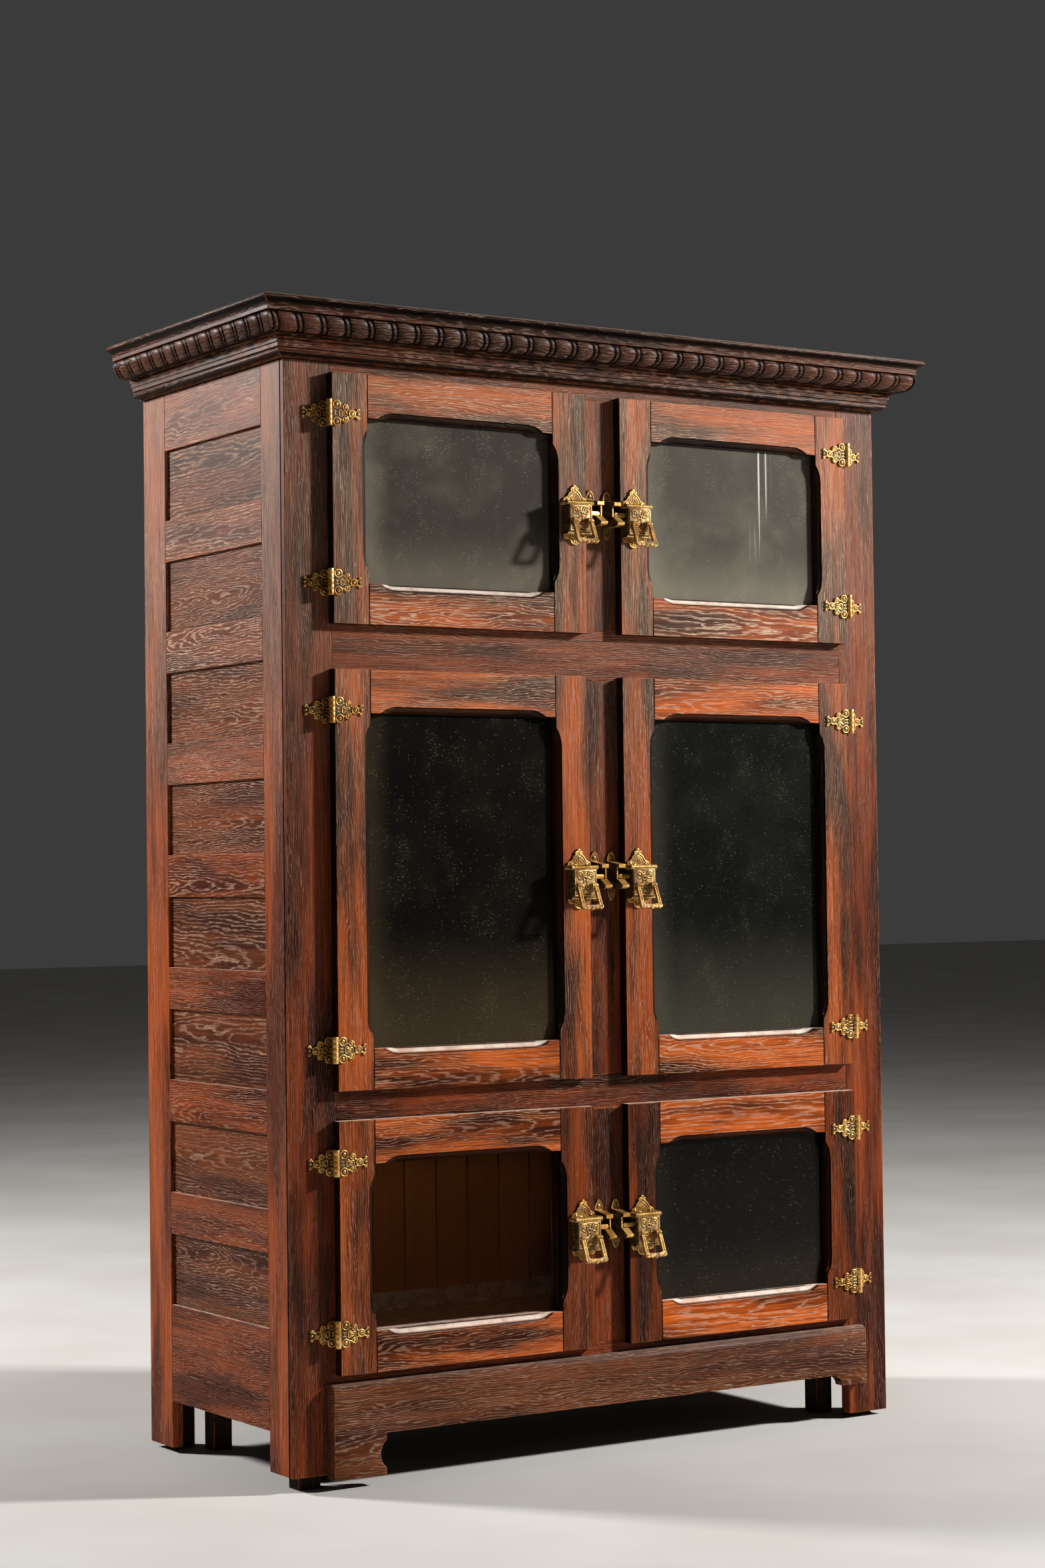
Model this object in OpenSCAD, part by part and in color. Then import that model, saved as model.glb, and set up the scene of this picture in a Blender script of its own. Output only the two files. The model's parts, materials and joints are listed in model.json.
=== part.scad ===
// Antique six-door icebox: an oak frame-and-panel case with glazed overlay doors,
// an ice chamber above two provision chambers, and cast brass hinges and lever latches.
// The front faces -Y, and the origin is on the floor under the middle of the outline.

/* [Case] */
// Width of the case between its outer faces
body_w = 1330; // [1150:1:1500]
// Depth of the case from the face frame to the back boards
body_d = 562; // [500:1:640]
// Height of the case from the floor to the cornice
body_h = 1986; // [1960:1:2060]
// Hairline gap between members that are jointed together
seam = 0.1; // [0.05:0.05:0.3]
// Thickness of the side frames and the face frame
board_t = 22; // [18:0.5:28]
// Thickness of the back boards
back_t = 16; // [12:0.5:22]
// Thickness of the top boards
top_board_t = 20; // [14:1:26]
// Height of the top boards above the case
top_board_rise = 64; // [50:1:66]
// Width of one back board
back_board_w = 160; // [100:1:260]
// Thickness of the insulation behind the lining
insulation_t = 45; // [30:1:55]
// Thickness of the lining boards
lining_t = 12; // [8:0.5:16]
// Number of lining boards across the back wall
lining_boards = 16; // [10:1:20]
// Number of lining boards on each side wall
lining_side_boards = 6; // [4:1:8]
// Number of lining boards on the floor and on the ceiling
lining_flat_boards = 6; // [4:1:10]
// Chamfer on the lining boards where they meet
lining_chamfer = 2; // [1:0.25:3]
// Height of the chamber floor above the bottom of the lower doors
chamber_floor_rise = 24; // [7:1:42]

/* [Sides] */
// Number of sunk panels in each side
side_panel_rows = 8; // [4:1:10]
// Width of the front stile of a side
side_front_stile_w = 86; // [60:1:120]
// Width of the rear stile of a side
side_rear_stile_w = 91; // [60:1:120]
// Height of the top rail of a side
side_top_rail_h = 107; // [60:1:140]
// Height of the rails between the panels
side_rail_h = 78; // [50:1:100]
// Height of the bottom rail of a side
side_bottom_rail_h = 180; // [120:1:220]
// Height of the open space under the bottom rails
toe_h = 97; // [80:1:98]
// Depth of the panels behind the face of the frame
panel_sink = 7; // [3:0.5:9]
// Thickness of the panels
panel_t = 8; // [6:0.5:9]
// Depth of the grooves that hold the panels
groove_depth = 6; // [4:0.5:8]
// Room for a panel to swell in its groove
panel_play = 0.5; // [0.25:0.05:0.9]
// Thickness of the face frame that shows on the side
corner_strip = 12.5; // [8:0.5:16]
// Width and depth of the groove beside the corner strip
corner_groove = 3; // [2:0.5:5]
// Gap between the stile ends and the ground
foot_lift = 10; // [6:1:20]
// Length worn off the front left foot
foot_wear = 16; // [0:1:20]

/* [Face frame] */
// Distance from the edge of the case to the doors
door_margin = 86; // [70:1:110]
// Gap between the two doors of a pair
mullion_gap = 77; // [60:1:100]
// Overlap of a door on the face frame
door_lip = 6; // [4:0.5:12]
// Gap between the cornice and the upper doors
door_top_gap = 20; // [12:1:30]
// Height of the upper doors
upper_door_h = 446; // [380:1:480]
// Gap between the upper and the middle doors
upper_rail_gap = 80; // [60:1:100]
// Height of the middle doors
middle_door_h = 745; // [680:1:770]
// Gap between the middle and the lower doors
lower_rail_gap = 52; // [40:1:70]
// Gap between the skirt and the lower doors
door_bottom_gap = 15; // [5:1:30]

/* [Doors] */
// Thickness of the door frame in front of the face frame
overlay_t = 19.5; // [17:0.5:24]
// Thickness of the plug that enters the opening
plug_t = 20; // [16:0.5:21.5]
// Gap between the plug and the opening
plug_gap = 5; // [4:0.5:8]
// Width of the door stiles
door_stile_w = 73; // [66:1:90]
// Width of the top rail of a door
door_top_rail_w = 78; // [60:1:100]
// Width of the bottom rail of a door
door_bottom_rail_w = 73; // [60:1:100]
// Thickness of the glass
glass_t = 3; // [2:0.5:4]
// Width of the rabbet that holds the glass
rabbet_w = 8; // [6:0.5:12]
// Room round the glass in its rabbet
glass_play = 0.75; // [0.25:0.05:0.9]
// Thickness of the beads that hold the inner pane
bead_t = 3; // [2:0.5:5]
// Width of the stopped moulding round the glass
moulding_w = 12.5; // [7:0.5:14]
// Depth of the fillet at the outer edge of the moulding
moulding_fillet = 2; // [1:0.25:3]
// Width of the flat between the fillet and the round
moulding_step = 1; // [0.5:0.25:2]
// Drop between that flat and the top of the round
moulding_quirk = 0.5; // [0.25:0.05:1]
// Radius of the round of the moulding
moulding_r = 9.5; // [5:0.5:11]
// Radius of the cutter that runs the moulding out
cutter_r = 55; // [30:1:70]
// Distance from the corner of the glass to the moulding on the rails
rail_stop = 20; // [10:1:40]
// Distance from the corner of the glass to the moulding on the stiles
stile_stop = 18; // [5:1:40]

/* [Hinges] */
// Distance from the end of a door to the middle of its hinge
hinge_inset = 73; // [50:1:110]
// Thickness of the hinge leaves
leaf_t = 2.5; // [1.5:0.25:3]
// Radius of the hinge barrel
barrel_r = 5.5; // [4.5:0.25:7]
// Height of one knuckle
knuckle_h = 9.4; // [7:0.1:12]
// Gap between neighbouring knuckles
knuckle_gap = 0.3; // [0.1:0.05:0.5]
// Radius of the hinge pin
pin_r = 2; // [1.5:0.1:2.5]
// Running play round a pin
pin_play = 0.05; // [0.02:0.01:0.1]
// Gap between the barrel and the edge of the door
barrel_gap = 0.4; // [0.3:0.05:0.8]
// Length of the leaf on the door
door_leaf_len = 56; // [40:1:64]
// Length of the leaf on the face frame
frame_leaf_len = 51; // [40:1:60]
// Amount by which a leaf is shorter than the barrel at each end
leaf_trim = 0.5; // [0.25:0.25:1]
// Radius of the discs at the root of a leaf
leaf_disc_r = 8.3; // [7:0.1:10]
// Distance from the root of a leaf to the middle of its scrolls
leaf_scroll_x = 25; // [22:0.5:28]
// Distance from the middle line of a leaf to its scrolls
leaf_scroll_z = 10.5; // [8:0.25:12]
// Radius of the scrolls of a leaf
leaf_scroll_r = 7.2; // [6:0.1:8]
// Radius of the ring near the tip of a leaf
leaf_ring_r = 7.2; // [6:0.1:8]
// Distance from the tip of a leaf to the middle of its ring
leaf_ring_inset = 16.5; // [14:0.5:18]
// Radius of the three beads at the tip of a leaf
leaf_bead_r = 3; // [2:0.1:4]
// Distance between the beads at the tip of a leaf
leaf_bead_gap = 7.2; // [6.5:0.1:9]
// Radius of the piercing in the middle of a leaf
leaf_hole_r = 3; // [2:0.1:4]
// Gap between the barrel and the bend of the frame leaf
strap_gap = 0.7; // [0.5:0.05:1.5]

/* [Latches] */
// Distance from the free edge of a door to the middle of its latch
latch_inset = 28; // [27:0.5:34]
// Width of the latch case
case_w = 50; // [44:0.5:52]
// Height of the latch case
case_h = 51; // [46:0.5:58]
// Height of the top of the case above the middle of the door
case_top = 14; // [10:0.5:20]
// Depth of the latch case in front of the door
case_d = 24; // [22:0.5:28]
// Wall of the latch case
case_wall = 2.5; // [1.5:0.25:3]
// Thickness of the back plate of the latch
plate_t = 3; // [2:0.25:4]
// Radius of the roped bar over the case
rope_r = 4; // [3:0.25:5]
// Depth to which the roped bar is sunk in the case
rope_sink = 1; // [0.5:0.25:2]
// Extra radius of the balls at the corners of the roped bar
rope_ball = 0.6; // [0.3:0.1:1.5]
// Overhang of the roped bar and the ledge past the case
ledge_over = 2; // [1:0.25:4]
// Height of the ledge under the case
ledge_h = 4; // [3:0.25:6]
// Distance of the ledge behind the front of the case
ledge_set = 3; // [1:0.25:6]
// Height of the crest over the case
crest_h = 38; // [30:1:46]
// Radius of the dome of the crest
crest_dome_r = 17; // [13:0.5:19]
// Height of the middle of the dome over the case
crest_dome_z = 11; // [8:0.5:14]
// Radius of the shoulders of the crest
crest_shoulder_r = 9; // [7:0.25:11]
// Height of the middle of the shoulders over the case
crest_shoulder_z = 6; // [3:0.25:9]
// Radius of the lobes of the finial
finial_r = 4; // [3.5:0.25:5]
// Distance between the side lobes of the finial
finial_spread = 10; // [8:0.5:12]
// Width of the stem of the finial
finial_stem_w = 6; // [4:0.5:6.5]
// Length of the tail under the case
tail_l = 23; // [18:1:30]
// Radius of the roundel on the tail
roundel_r = 12; // [8:0.5:14]
// Distance between the arms of the bail
bail_w = 38; // [34:0.5:42]
// Length of the bail
bail_l = 49; // [40:0.5:56]
// Thickness of the bail
bail_t = 5; // [3.5:0.25:6]
// Width of the arms of the bail
bail_arm_w = 5.5; // [4:0.25:7]
// Spread of the arms towards the foot of the bail
bail_flare = 1.5; // [0:0.25:3]
// Height of the foot of the bail
bail_foot = 7; // [5:0.25:9]
// Height of the bar between the arms of the bail
bail_bar_h = 5; // [4:0.25:7]
// Radius of the corners at the foot of the bail
bail_corner_r = 5.25; // [4:0.25:6.5]
// Radius of the waves beside the middle of the foot
bail_wave_r = 4.25; // [3:0.25:5]
// Radius of the lobe in the middle of the foot
bail_lobe_r = 4.5; // [3:0.25:5]
// Radius of the eyes of the bail
bail_eye_r = 4.4; // [3.5:0.1:4.8]
// Lean of the resting bail away from the door
bail_lean = 22; // [0:1:24]
// Height of the bail pivot above the bottom of the case
bail_pivot_h = 21; // [17:0.5:26]
// Reach of the lugs in front of the case
lug_l = 5; // [4.5:0.25:7]
// Radius of the ends of the lugs
lug_r = 4; // [3:0.25:4.5]
// Width of a lug
lug_w = 4; // [3:0.25:6]
// Gap between the lugs and the bail
bail_gap = 0.4; // [0.3:0.05:0.8]
// Radius of the bail pivots
bail_pin_r = 1.5; // [1:0.1:2]
// Height of the bolt bar
bolt_h = 8; // [6:0.5:9]
// Thickness of the bolt bar
bolt_t = 6; // [4:0.5:7]
// Distance of the middle of the bolt in front of the door
bolt_set = 9.5; // [8:0.25:13]
// Reach of the bolt past the edge of the door
bolt_reach = 22; // [18:0.5:23]
// Height of the middle of the bolt above the bail pivot
bolt_lift = 16; // [14:0.5:17]
// Distance from the side of the case to the pivot of the bolt
bolt_pivot_inset = 10; // [8:0.5:12]
// Extra radius of the bolt round its pivot
bolt_eye = 1; // [0:0.25:2]
// Room for the bolt in the slot of the case
slot_play = 1; // [0.5:0.25:2]
// Largest rise of the bolt in degrees
bolt_rise_deg = 8; // [6:0.2:8]
// Largest drop of the bolt in degrees
bolt_drop_deg = 3.6; // [3:0.1:4]

/* [Strikes] */
// Distance from the middle of the mullion to the web of a strike
strike_offset = 11.5; // [8:0.5:13]
// Thickness of the web of a strike
web_t = 3; // [2:0.25:4]
// Width of the arm and the hook beside the web
hook_l = 12; // [9:0.5:13]
// Height of a strike above the middle of the doors
strike_top = 29; // [27:0.5:34]
// Depth of a strike below the middle of the doors
strike_bottom = 23; // [22:0.5:30]
// Projection of the arm over the bolt
arm_out = 40; // [36:0.5:46]
// Fall of the roof of the arm
roof_fall = 6.5; // [2:0.5:8]
// Height of the end of the arm
arm_h = 6.5; // [5:0.5:7]
// Gap between the resting bolt and the hook below it
hook_gap = 1; // [0.6:0.1:2]
// Gap between the dropped bolt and the hook in front of it
hook_play = 0.6; // [0.4:0.1:1]
// Thickness of the tip of the hook
hook_tip = 2.5; // [2:0.25:4]
// Projection of the nose of the hook
nose_out = 52; // [44:0.5:54]
// Fall of the ramp from the tip of the hook to the nose
ramp_fall = 11.5; // [8:0.5:12]
// Height of the nose
nose_h = 4; // [2:0.25:5]
// Setback of the underside of the hook behind the nose
nose_undercut = 9; // [6:0.5:14]
// Depth of the pocket behind the hook
pocket_h = 7; // [6:0.25:9]
// Number of grooves between the reeds of the web
reed_grooves = 11; // [6:1:14]
// Width and depth of a groove
reed_groove = 1.2; // [0.8:0.1:1.6]
// Width of the tabs of a strike
strike_tab_w = 18; // [14:0.5:20]
// Height of the tab above a strike
strike_tab_h = 19; // [14:0.5:24]
// Height of the tab below a strike
strike_tail_h = 23; // [16:0.5:28]

/* [Cornice] */
// Height of the cornice
cornice_h = 98; // [95:1:110]
// Projection of the cornice
cornice_out = 77; // [72:1:90]
// Radius of the bead at the foot of the cornice
cornice_bead_r = 6.5; // [5:0.25:8]
// Projection of the bead
cornice_bead_out = 21; // [18:0.5:22]
// Height of the middle of the bead above the case
cornice_bead_z = 10; // [8:0.5:11]
// Height of the first step above the case
cornice_step_z = 16; // [14:0.5:17]
// Height of one of the three steps
cornice_step_h = 7.7; // [6:0.1:8]
// Projection of the first step
cornice_step_out = 22.5; // [20:0.5:24]
// Growth of the projection from step to step
cornice_step_grow = 2.75; // [1.5:0.25:4]
// Radius of the carved round
cornice_round_r = 27.5; // [24:0.5:30]
// Distance from the lip to the middle of the carved round
cornice_round_inset = 45; // [43:0.5:47]
// Distance from the top to the middle of the carved round
cornice_round_drop = 33; // [31:0.5:35]
// Distance from the top to the soffit over the carved round
soffit_drop = 26.5; // [25:0.5:28]
// Thickness of the soffit
soffit_t = 4; // [3:0.25:6]
// Distance from the lip to the edge of the soffit
soffit_inset = 13; // [10:0.5:15]
// Radius of the cove under the lip
cove_r = 10; // [8:0.25:12]
// Height of the lip
lip_h = 9.5; // [8:0.25:11]

/* [Base] */
// Thickness of the skirt board
skirt_t = 25; // [18:0.5:32]
// Distance from the edge of the case to the end of the skirt
skirt_margin = 69; // [40:1:90]
// Height of the face of the skirt under its moulding
skirt_top_z = 169; // [150:1:178]
// Height of the moulding on the skirt
skirt_ovolo_h = 14; // [8:0.5:18]
// Height of the bracket feet of the skirt
skirt_foot_h = 74; // [60:1:80]
// Gap between the skirt foot and the ground
skirt_lift = 18; // [8:1:24]
// Width of the left bracket foot
skirt_foot_w = 105; // [80:1:130]
// Radius of the scallop in the bracket foot
skirt_scallop_r = 30; // [26:1:40]
// Depth of the scallop in the bracket foot
skirt_scallop_d = 12; // [6:0.5:16]
// Width of the broken right foot
skirt_stub_w = 76; // [60:1:100]
// Length left of the broken right foot
skirt_stub_h = 21; // [10:1:50]
// Radius of the break in the right foot
skirt_break_r = 17; // [8:1:19]
// Width of the square support legs
leg_w = 38; // [30:1:50]
// Distance from the side of the case to the support legs
leg_inset_x = 71; // [60:1:110]
// Distance from the front and the back to the support legs
leg_inset_y = 102; // [80:1:130]
// Width of the corner posts
post_w = 44; // [30:1:50]
// Depth of the corner posts
post_d = 36; // [24:1:44]
// Thickness of the bottom boards
bottom_t = 18; // [14:0.5:24]
// Height of the bottom boards above the ground
bottom_z = 100; // [98:1:108]
// Reach of the knee brackets beside the legs
knee_l = 34; // [20:1:44]
// Width of the ends of the knee brackets
knee_toe = 6; // [3:0.5:10]
// Thickness of the knee brackets
knee_t = 14; // [10:0.5:20]

/* [Inside] */
// Height of the ice deck above the bottom of its rail opening
deck_rise = 36; // [30:1:44]
// Thickness of the ice deck
deck_t = 25; // [18:0.5:30]
// Thickness of the sheet zinc
zinc_t = 1.2; // [1:0.1:2]
// Height of the rim of the ice pan
ice_rim_h = 36; // [24:1:60]
// Gap between the ice pan and the walls
ice_pan_gap = 14; // [8:1:30]
// Height of the zinc upstand round the chamber floor
floor_rim_h = 36; // [24:1:60]
// Height of the zinc lip at the front of the chamber floor
floor_lip_h = 6; // [4:0.5:8]
// Number of slats in the ice rack
rack_slats = 12; // [8:1:16]
// Width of a rack slat
rack_slat_w = 44; // [30:1:52]
// Thickness of a rack slat
rack_slat_t = 14; // [10:0.5:18]
// Height of the runners under the rack
rack_runner_h = 18; // [12:0.5:24]
// Width of the runners under the rack
rack_runner_w = 30; // [20:1:40]
// Gap between the ice rack and the rim of the pan
rack_gap = 12; // [6:1:20]
// Radius of the drain pipe
drain_r = 14; // [10:0.5:18]
// Wall of the drain pipe
drain_wall = 2; // [1.5:0.25:3]
// Width of the flange of the drain pipe
drain_flange = 5; // [3:0.5:8]
// Play round the drain pipe
drain_play = 0.4; // [0.3:0.05:0.9]
// Distance from the side wall to the middle of the drain pipe
drain_inset_x = 86; // [80:1:110]
// Distance from the back wall to the middle of the drain pipe
drain_inset_y = 36; // [34:1:50]
// Height of the open end of the drain pipe above the ground
drain_end_z = 42; // [30:1:60]
// Number of slats in a shelf
shelf_slats = 7; // [5:1:9]
// Width of a shelf slat
shelf_slat_w = 40; // [30:1:44]
// Thickness of a shelf slat
shelf_slat_t = 18; // [12:0.5:24]
// Width and height of the cleats that carry shelves
cleat = 24; // [18:0.5:30]
// Room behind the shelves for cold air to fall
flue = 62; // [56:1:90]

/* [Hidden] */
$fn = 48;

// Names of the three rows of doors, from the top
UPPER = 0;
MIDDLE = 1;
LOWER = 2;
LEFT = -1;
RIGHT = 1;

// Overlap that makes a cut pass clean through a face
cut = 1;

// Main planes of the case
half_w = body_w / 2;
front_y = (cornice_out - body_d) / 2;
back_y = front_y + body_d;
middle_y = front_y + body_d / 2;
inner_front_y = front_y + board_t;
inner_back_y = back_y - back_t;
inner_half_w = half_w - board_t;

// Chamber inside the lining
chamber_half_w = inner_half_w - insulation_t - lining_t;
chamber_back_y = inner_back_y - insulation_t - lining_t;
chamber_d = chamber_back_y - inner_front_y;
lining_half_w = chamber_half_w + lining_t;
lining_back_y = chamber_back_y + lining_t;

// Doors, with one entry for each row
door_w = half_w - door_margin - mullion_gap / 2;
upper_z = body_h - door_top_gap - upper_door_h;
middle_z = upper_z - upper_rail_gap - middle_door_h;
lower_z = skirt_top_z + skirt_ovolo_h + door_bottom_gap;
lower_door_h = middle_z - lower_rail_gap - lower_z;
door_h = [upper_door_h, middle_door_h, lower_door_h];
door_z = [upper_z, middle_z, lower_z];
chamber_floor_z = lower_z + chamber_floor_rise;
door_face_y = front_y - overlay_t;
door_edge_x = half_w - door_margin;
sight_w = door_w - 2 * door_stile_w;
ceiling_z = upper_z + upper_door_h - door_lip;
top_board_z = body_h + top_board_rise;

// Hinge axis, measured from the left side
axis_x = -door_edge_x - barrel_r - barrel_gap;
axis_y = door_face_y - leaf_t / 2;
barrel_h = 5 * knuckle_h;

// Latch positions inside its own frame, with zero at the middle of the door
latch_x = -mullion_gap / 2 - latch_inset;
case_bottom = case_top - case_h;
bail_z = case_bottom + bail_pivot_h;
bail_y = -case_d - lug_l;
bolt_z = bail_z + bolt_lift;
bolt_pivot_x = -case_w / 2 + bolt_pivot_inset;
bolt_tip_x = latch_inset + bolt_reach;
lug_x = bail_w / 2 - bail_arm_w / 2 - bail_gap - lug_w;

// Heights of the parts inside the chambers
deck_z = middle_z + middle_door_h + deck_rise - door_lip;
pan_z = deck_z + deck_t;
rack_z = pan_z + zinc_t;
drain_x = chamber_half_w - drain_inset_x;
drain_y = chamber_back_y - drain_inset_y;

function opening_z(row) = door_z[row] + door_lip;
function opening_h(row) = door_h[row] - 2 * door_lip;

// A box between two corners
module block(low, high) {
    translate(low)
        cube(high - low);
}

// Shapes drawn for the left side, turned over for the right
module on_side(side) {
    if (side == LEFT)
        children();
    else
        mirror([1, 0, 0])
            children();
}

// An outline in X and Z, given a thickness backwards along Y
module slab(thickness) {
    translate([0, thickness, 0])
        rotate([90, 0, 0])
            linear_extrude(thickness)
                children();
}

// Side frames: two grooved stiles and rails with stub tenons

side_panel_h = (body_h - side_top_rail_h - (side_panel_rows - 1) * side_rail_h
    - side_bottom_rail_h - toe_h) / side_panel_rows;
side_open_y0 = front_y + side_front_stile_w;
side_open_y1 = back_y - side_rear_stile_w;
panel_x = -half_w + panel_sink;

function panel_z(row) = toe_h + side_bottom_rail_h + row * (side_panel_h + side_rail_h);

module panel_groove(low, high) {
    block([panel_x, low[0], low[1]], [panel_x + panel_t, high[0], high[1]]);
}

module side_rail(z0, z1, groove_below, groove_above) {
    difference() {
        union() {
            block([-half_w, side_open_y0 + seam, z0], [-half_w + board_t, side_open_y1 - seam, z1]);
            block([panel_x + seam, side_open_y0 - groove_depth + seam, z0],
                [panel_x + panel_t - seam, side_open_y1 + groove_depth - seam, z1]);
        }
        if (groove_below)
            panel_groove([side_open_y0 - groove_depth - cut, z0 - cut],
                [side_open_y1 + groove_depth + cut, z0 + groove_depth]);
        if (groove_above)
            panel_groove([side_open_y0 - groove_depth - cut, z1 - groove_depth],
                [side_open_y1 + groove_depth + cut, z1 + cut]);
    }
}

module side_stile(y0, y1, z0, groove_y) {
    difference() {
        block([-half_w, y0, z0], [-half_w + board_t, y1, body_h]);
        panel_groove([groove_y, toe_h - seam], [groove_y + groove_depth, body_h + cut]);
    }
}

module side_frame(front_foot) {
    difference() {
        side_stile(front_y + corner_strip, side_open_y0, front_foot, side_open_y0 - groove_depth);
        block([-half_w - cut, front_y + corner_strip - cut, front_foot - cut],
            [-half_w + corner_groove, front_y + corner_strip + corner_groove, body_h + cut]);
    }
    side_stile(side_open_y1, back_y, foot_lift, side_open_y1);
    side_rail(toe_h, toe_h + side_bottom_rail_h, false, true);
    for (row = [1 : side_panel_rows - 1])
        side_rail(panel_z(row) - side_rail_h, panel_z(row), true, true);
    side_rail(body_h - side_top_rail_h, body_h, true, false);
}

module left_side_frame() {
    color("sienna")
        side_frame(foot_lift + foot_wear);
}

module right_side_frame() {
    color("sienna")
        on_side(RIGHT)
            side_frame(foot_lift);
}

module side_panels() {
    hold = groove_depth - panel_play;
    color("peru")
        for (side = [LEFT, RIGHT])
            on_side(side)
                for (row = [0 : side_panel_rows - 1])
                    block([panel_x, side_open_y0 - hold, panel_z(row) - hold],
                        [panel_x + panel_t, side_open_y1 + hold, panel_z(row) + side_panel_h + hold]);
}

// Face frame: stiles, mullion and rails, with a tongue between the side frames

module frame_stile(side, foot) {
    on_side(side) {
        inner_x = -door_edge_x + door_lip;
        block([-half_w, front_y, foot], [inner_x, front_y + corner_strip, body_h]);
        block([-inner_half_w, front_y + corner_strip, foot], [inner_x, inner_front_y, body_h]);
    }
}

module frame_rail(z0, z1) {
    inner_x = door_edge_x - door_lip - seam;
    block([-inner_x, front_y, z0], [inner_x, inner_front_y, z1]);
}

module face_frame() {
    mullion_x = mullion_gap / 2 + door_lip;
    color("sienna") {
        frame_stile(LEFT, foot_lift + foot_wear);
        frame_stile(RIGHT, foot_lift);
        frame_rail(toe_h, opening_z(LOWER));
        frame_rail(opening_z(LOWER) + opening_h(LOWER), opening_z(MIDDLE));
        frame_rail(opening_z(MIDDLE) + opening_h(MIDDLE), opening_z(UPPER));
        frame_rail(opening_z(UPPER) + opening_h(UPPER), body_h);
        for (row = [UPPER, MIDDLE, LOWER])
            block([-mullion_x, front_y, opening_z(row) + seam],
                [mullion_x, inner_front_y, opening_z(row) + opening_h(row) - seam]);
    }
}

// Back, top and bottom boards of the outer case

module board_row(low, high, count) {
    step = (high[0] - low[0]) / count;
    for (i = [0 : count - 1])
        block([low[0] + i * step + seam / 2, low[1], low[2]],
            [low[0] + (i + 1) * step - seam / 2, high[1], high[2]]);
}

module back_boards() {
    color("saddlebrown")
        board_row([-inner_half_w, inner_back_y, toe_h], [inner_half_w, back_y, top_board_z],
            round(2 * inner_half_w / back_board_w));
}

module top_boards() {
    color("saddlebrown")
        board_row([-inner_half_w, inner_front_y, top_board_z - top_board_t],
            [inner_half_w, inner_back_y, top_board_z], round(2 * inner_half_w / back_board_w));
}

module drain_hole(z0, z1) {
    translate([drain_x, drain_y, z0 - cut])
        cylinder(r = drain_r + drain_play, h = z1 - z0 + 2 * cut);
}

module bottom_boards() {
    color("saddlebrown")
        difference() {
            board_row([-inner_half_w, inner_front_y, bottom_z],
                [inner_half_w, inner_back_y, bottom_z + bottom_t], round(2 * inner_half_w / back_board_w));
            drain_hole(bottom_z, bottom_z + bottom_t);
        }
}

// Cornice: three mitred lengths of one built-up moulding

module cornice_outline() {
    lip = cornice_out;
    top = cornice_h;
    core_x = cornice_bead_out - 2 * cornice_bead_r;
    bead_x = cornice_bead_out - cornice_bead_r;
    step_top = cornice_step_z + 3 * cornice_step_h;
    round_x = lip - cornice_round_inset;
    soffit_z = top - soffit_drop;
    cove_x = lip - soffit_inset - cove_r;
    polygon([[-board_t, 0], [core_x, 0], [core_x, step_top], [round_x, step_top], [round_x, soffit_z],
        [cove_x, soffit_z], [cove_x, top], [round_x, top], [-board_t, top_board_rise]]);
    translate([core_x, cornice_bead_z - cornice_bead_r])
        square([cornice_bead_r, 2 * cornice_bead_r]);
    translate([bead_x, cornice_bead_z])
        circle(cornice_bead_r);
    for (i = [0 : 2]) {
        step_z = cornice_step_z + i * cornice_step_h;
        translate([core_x, step_z])
            square([cornice_step_out + i * cornice_step_grow - core_x, step_top - step_z]);
    }
    intersection() {
        translate([round_x, top - cornice_round_drop])
            circle(cornice_round_r);
        translate([round_x - cut, step_top - cut])
            square([lip, soffit_z - step_top + 2 * cut]);
    }
    translate([round_x, soffit_z])
        square([lip - soffit_inset - round_x, soffit_t]);
    difference() {
        translate([cove_x, soffit_z])
            square([lip - cove_x - lip_h / 2, top - soffit_z]);
        translate([lip - lip_h / 4, top - lip_h - cove_r])
            circle(cove_r);
        translate([lip - soffit_inset, soffit_z - cut])
            square([lip, top - lip_h - cove_r - soffit_z + cut]);
    }
    translate([lip - lip_h / 2, top - lip_h / 2])
        circle(lip_h / 2);
}

module mitred(plan) {
    intersection() {
        translate([0, 0, body_h])
            children();
        translate([0, 0, body_h - cut])
            linear_extrude(cornice_h + 2 * cut)
                polygon(plan);
    }
}

module cornice() {
    outer_x = half_w + cornice_out;
    outer_y = front_y - cornice_out;
    color("saddlebrown") {
        mitred([[-outer_x, outer_y], [outer_x, outer_y], [inner_half_w, inner_front_y],
            [-inner_half_w, inner_front_y]])
            translate([0, front_y, 0])
                rotate([90, 0, -90])
                    linear_extrude(2 * outer_x + 2 * cut, center = true)
                        cornice_outline();
        for (side = [LEFT, RIGHT])
            on_side(side)
                mitred([[-outer_x, outer_y + seam], [-inner_half_w, inner_front_y + seam],
                    [-inner_half_w, back_y], [-outer_x, back_y]])
                    translate([-half_w, middle_y, 0])
                        rotate([90, 0, 180])
                            linear_extrude(2 * body_d, center = true)
                                cornice_outline();
    }
}

// Base skirt with a moulded top edge and bracket feet, the right one broken off

module skirt_outline() {
    end_x = half_w - skirt_margin;
    board_z = skirt_lift + skirt_foot_h;
    scallop_x = -end_x + skirt_foot_w + skirt_scallop_r - skirt_scallop_d;
    translate([-end_x, board_z])
        square([2 * end_x, skirt_top_z - board_z]);
    difference() {
        translate([-end_x, skirt_lift])
            square([skirt_foot_w, skirt_foot_h]);
        translate([scallop_x, skirt_lift + skirt_foot_h / 2])
            circle(skirt_scallop_r);
    }
    difference() {
        translate([end_x - skirt_stub_w, board_z - skirt_stub_h])
            square([skirt_stub_w, skirt_stub_h]);
        translate([end_x - skirt_stub_w, board_z - skirt_stub_h])
            circle(skirt_break_r);
    }
}

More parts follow.
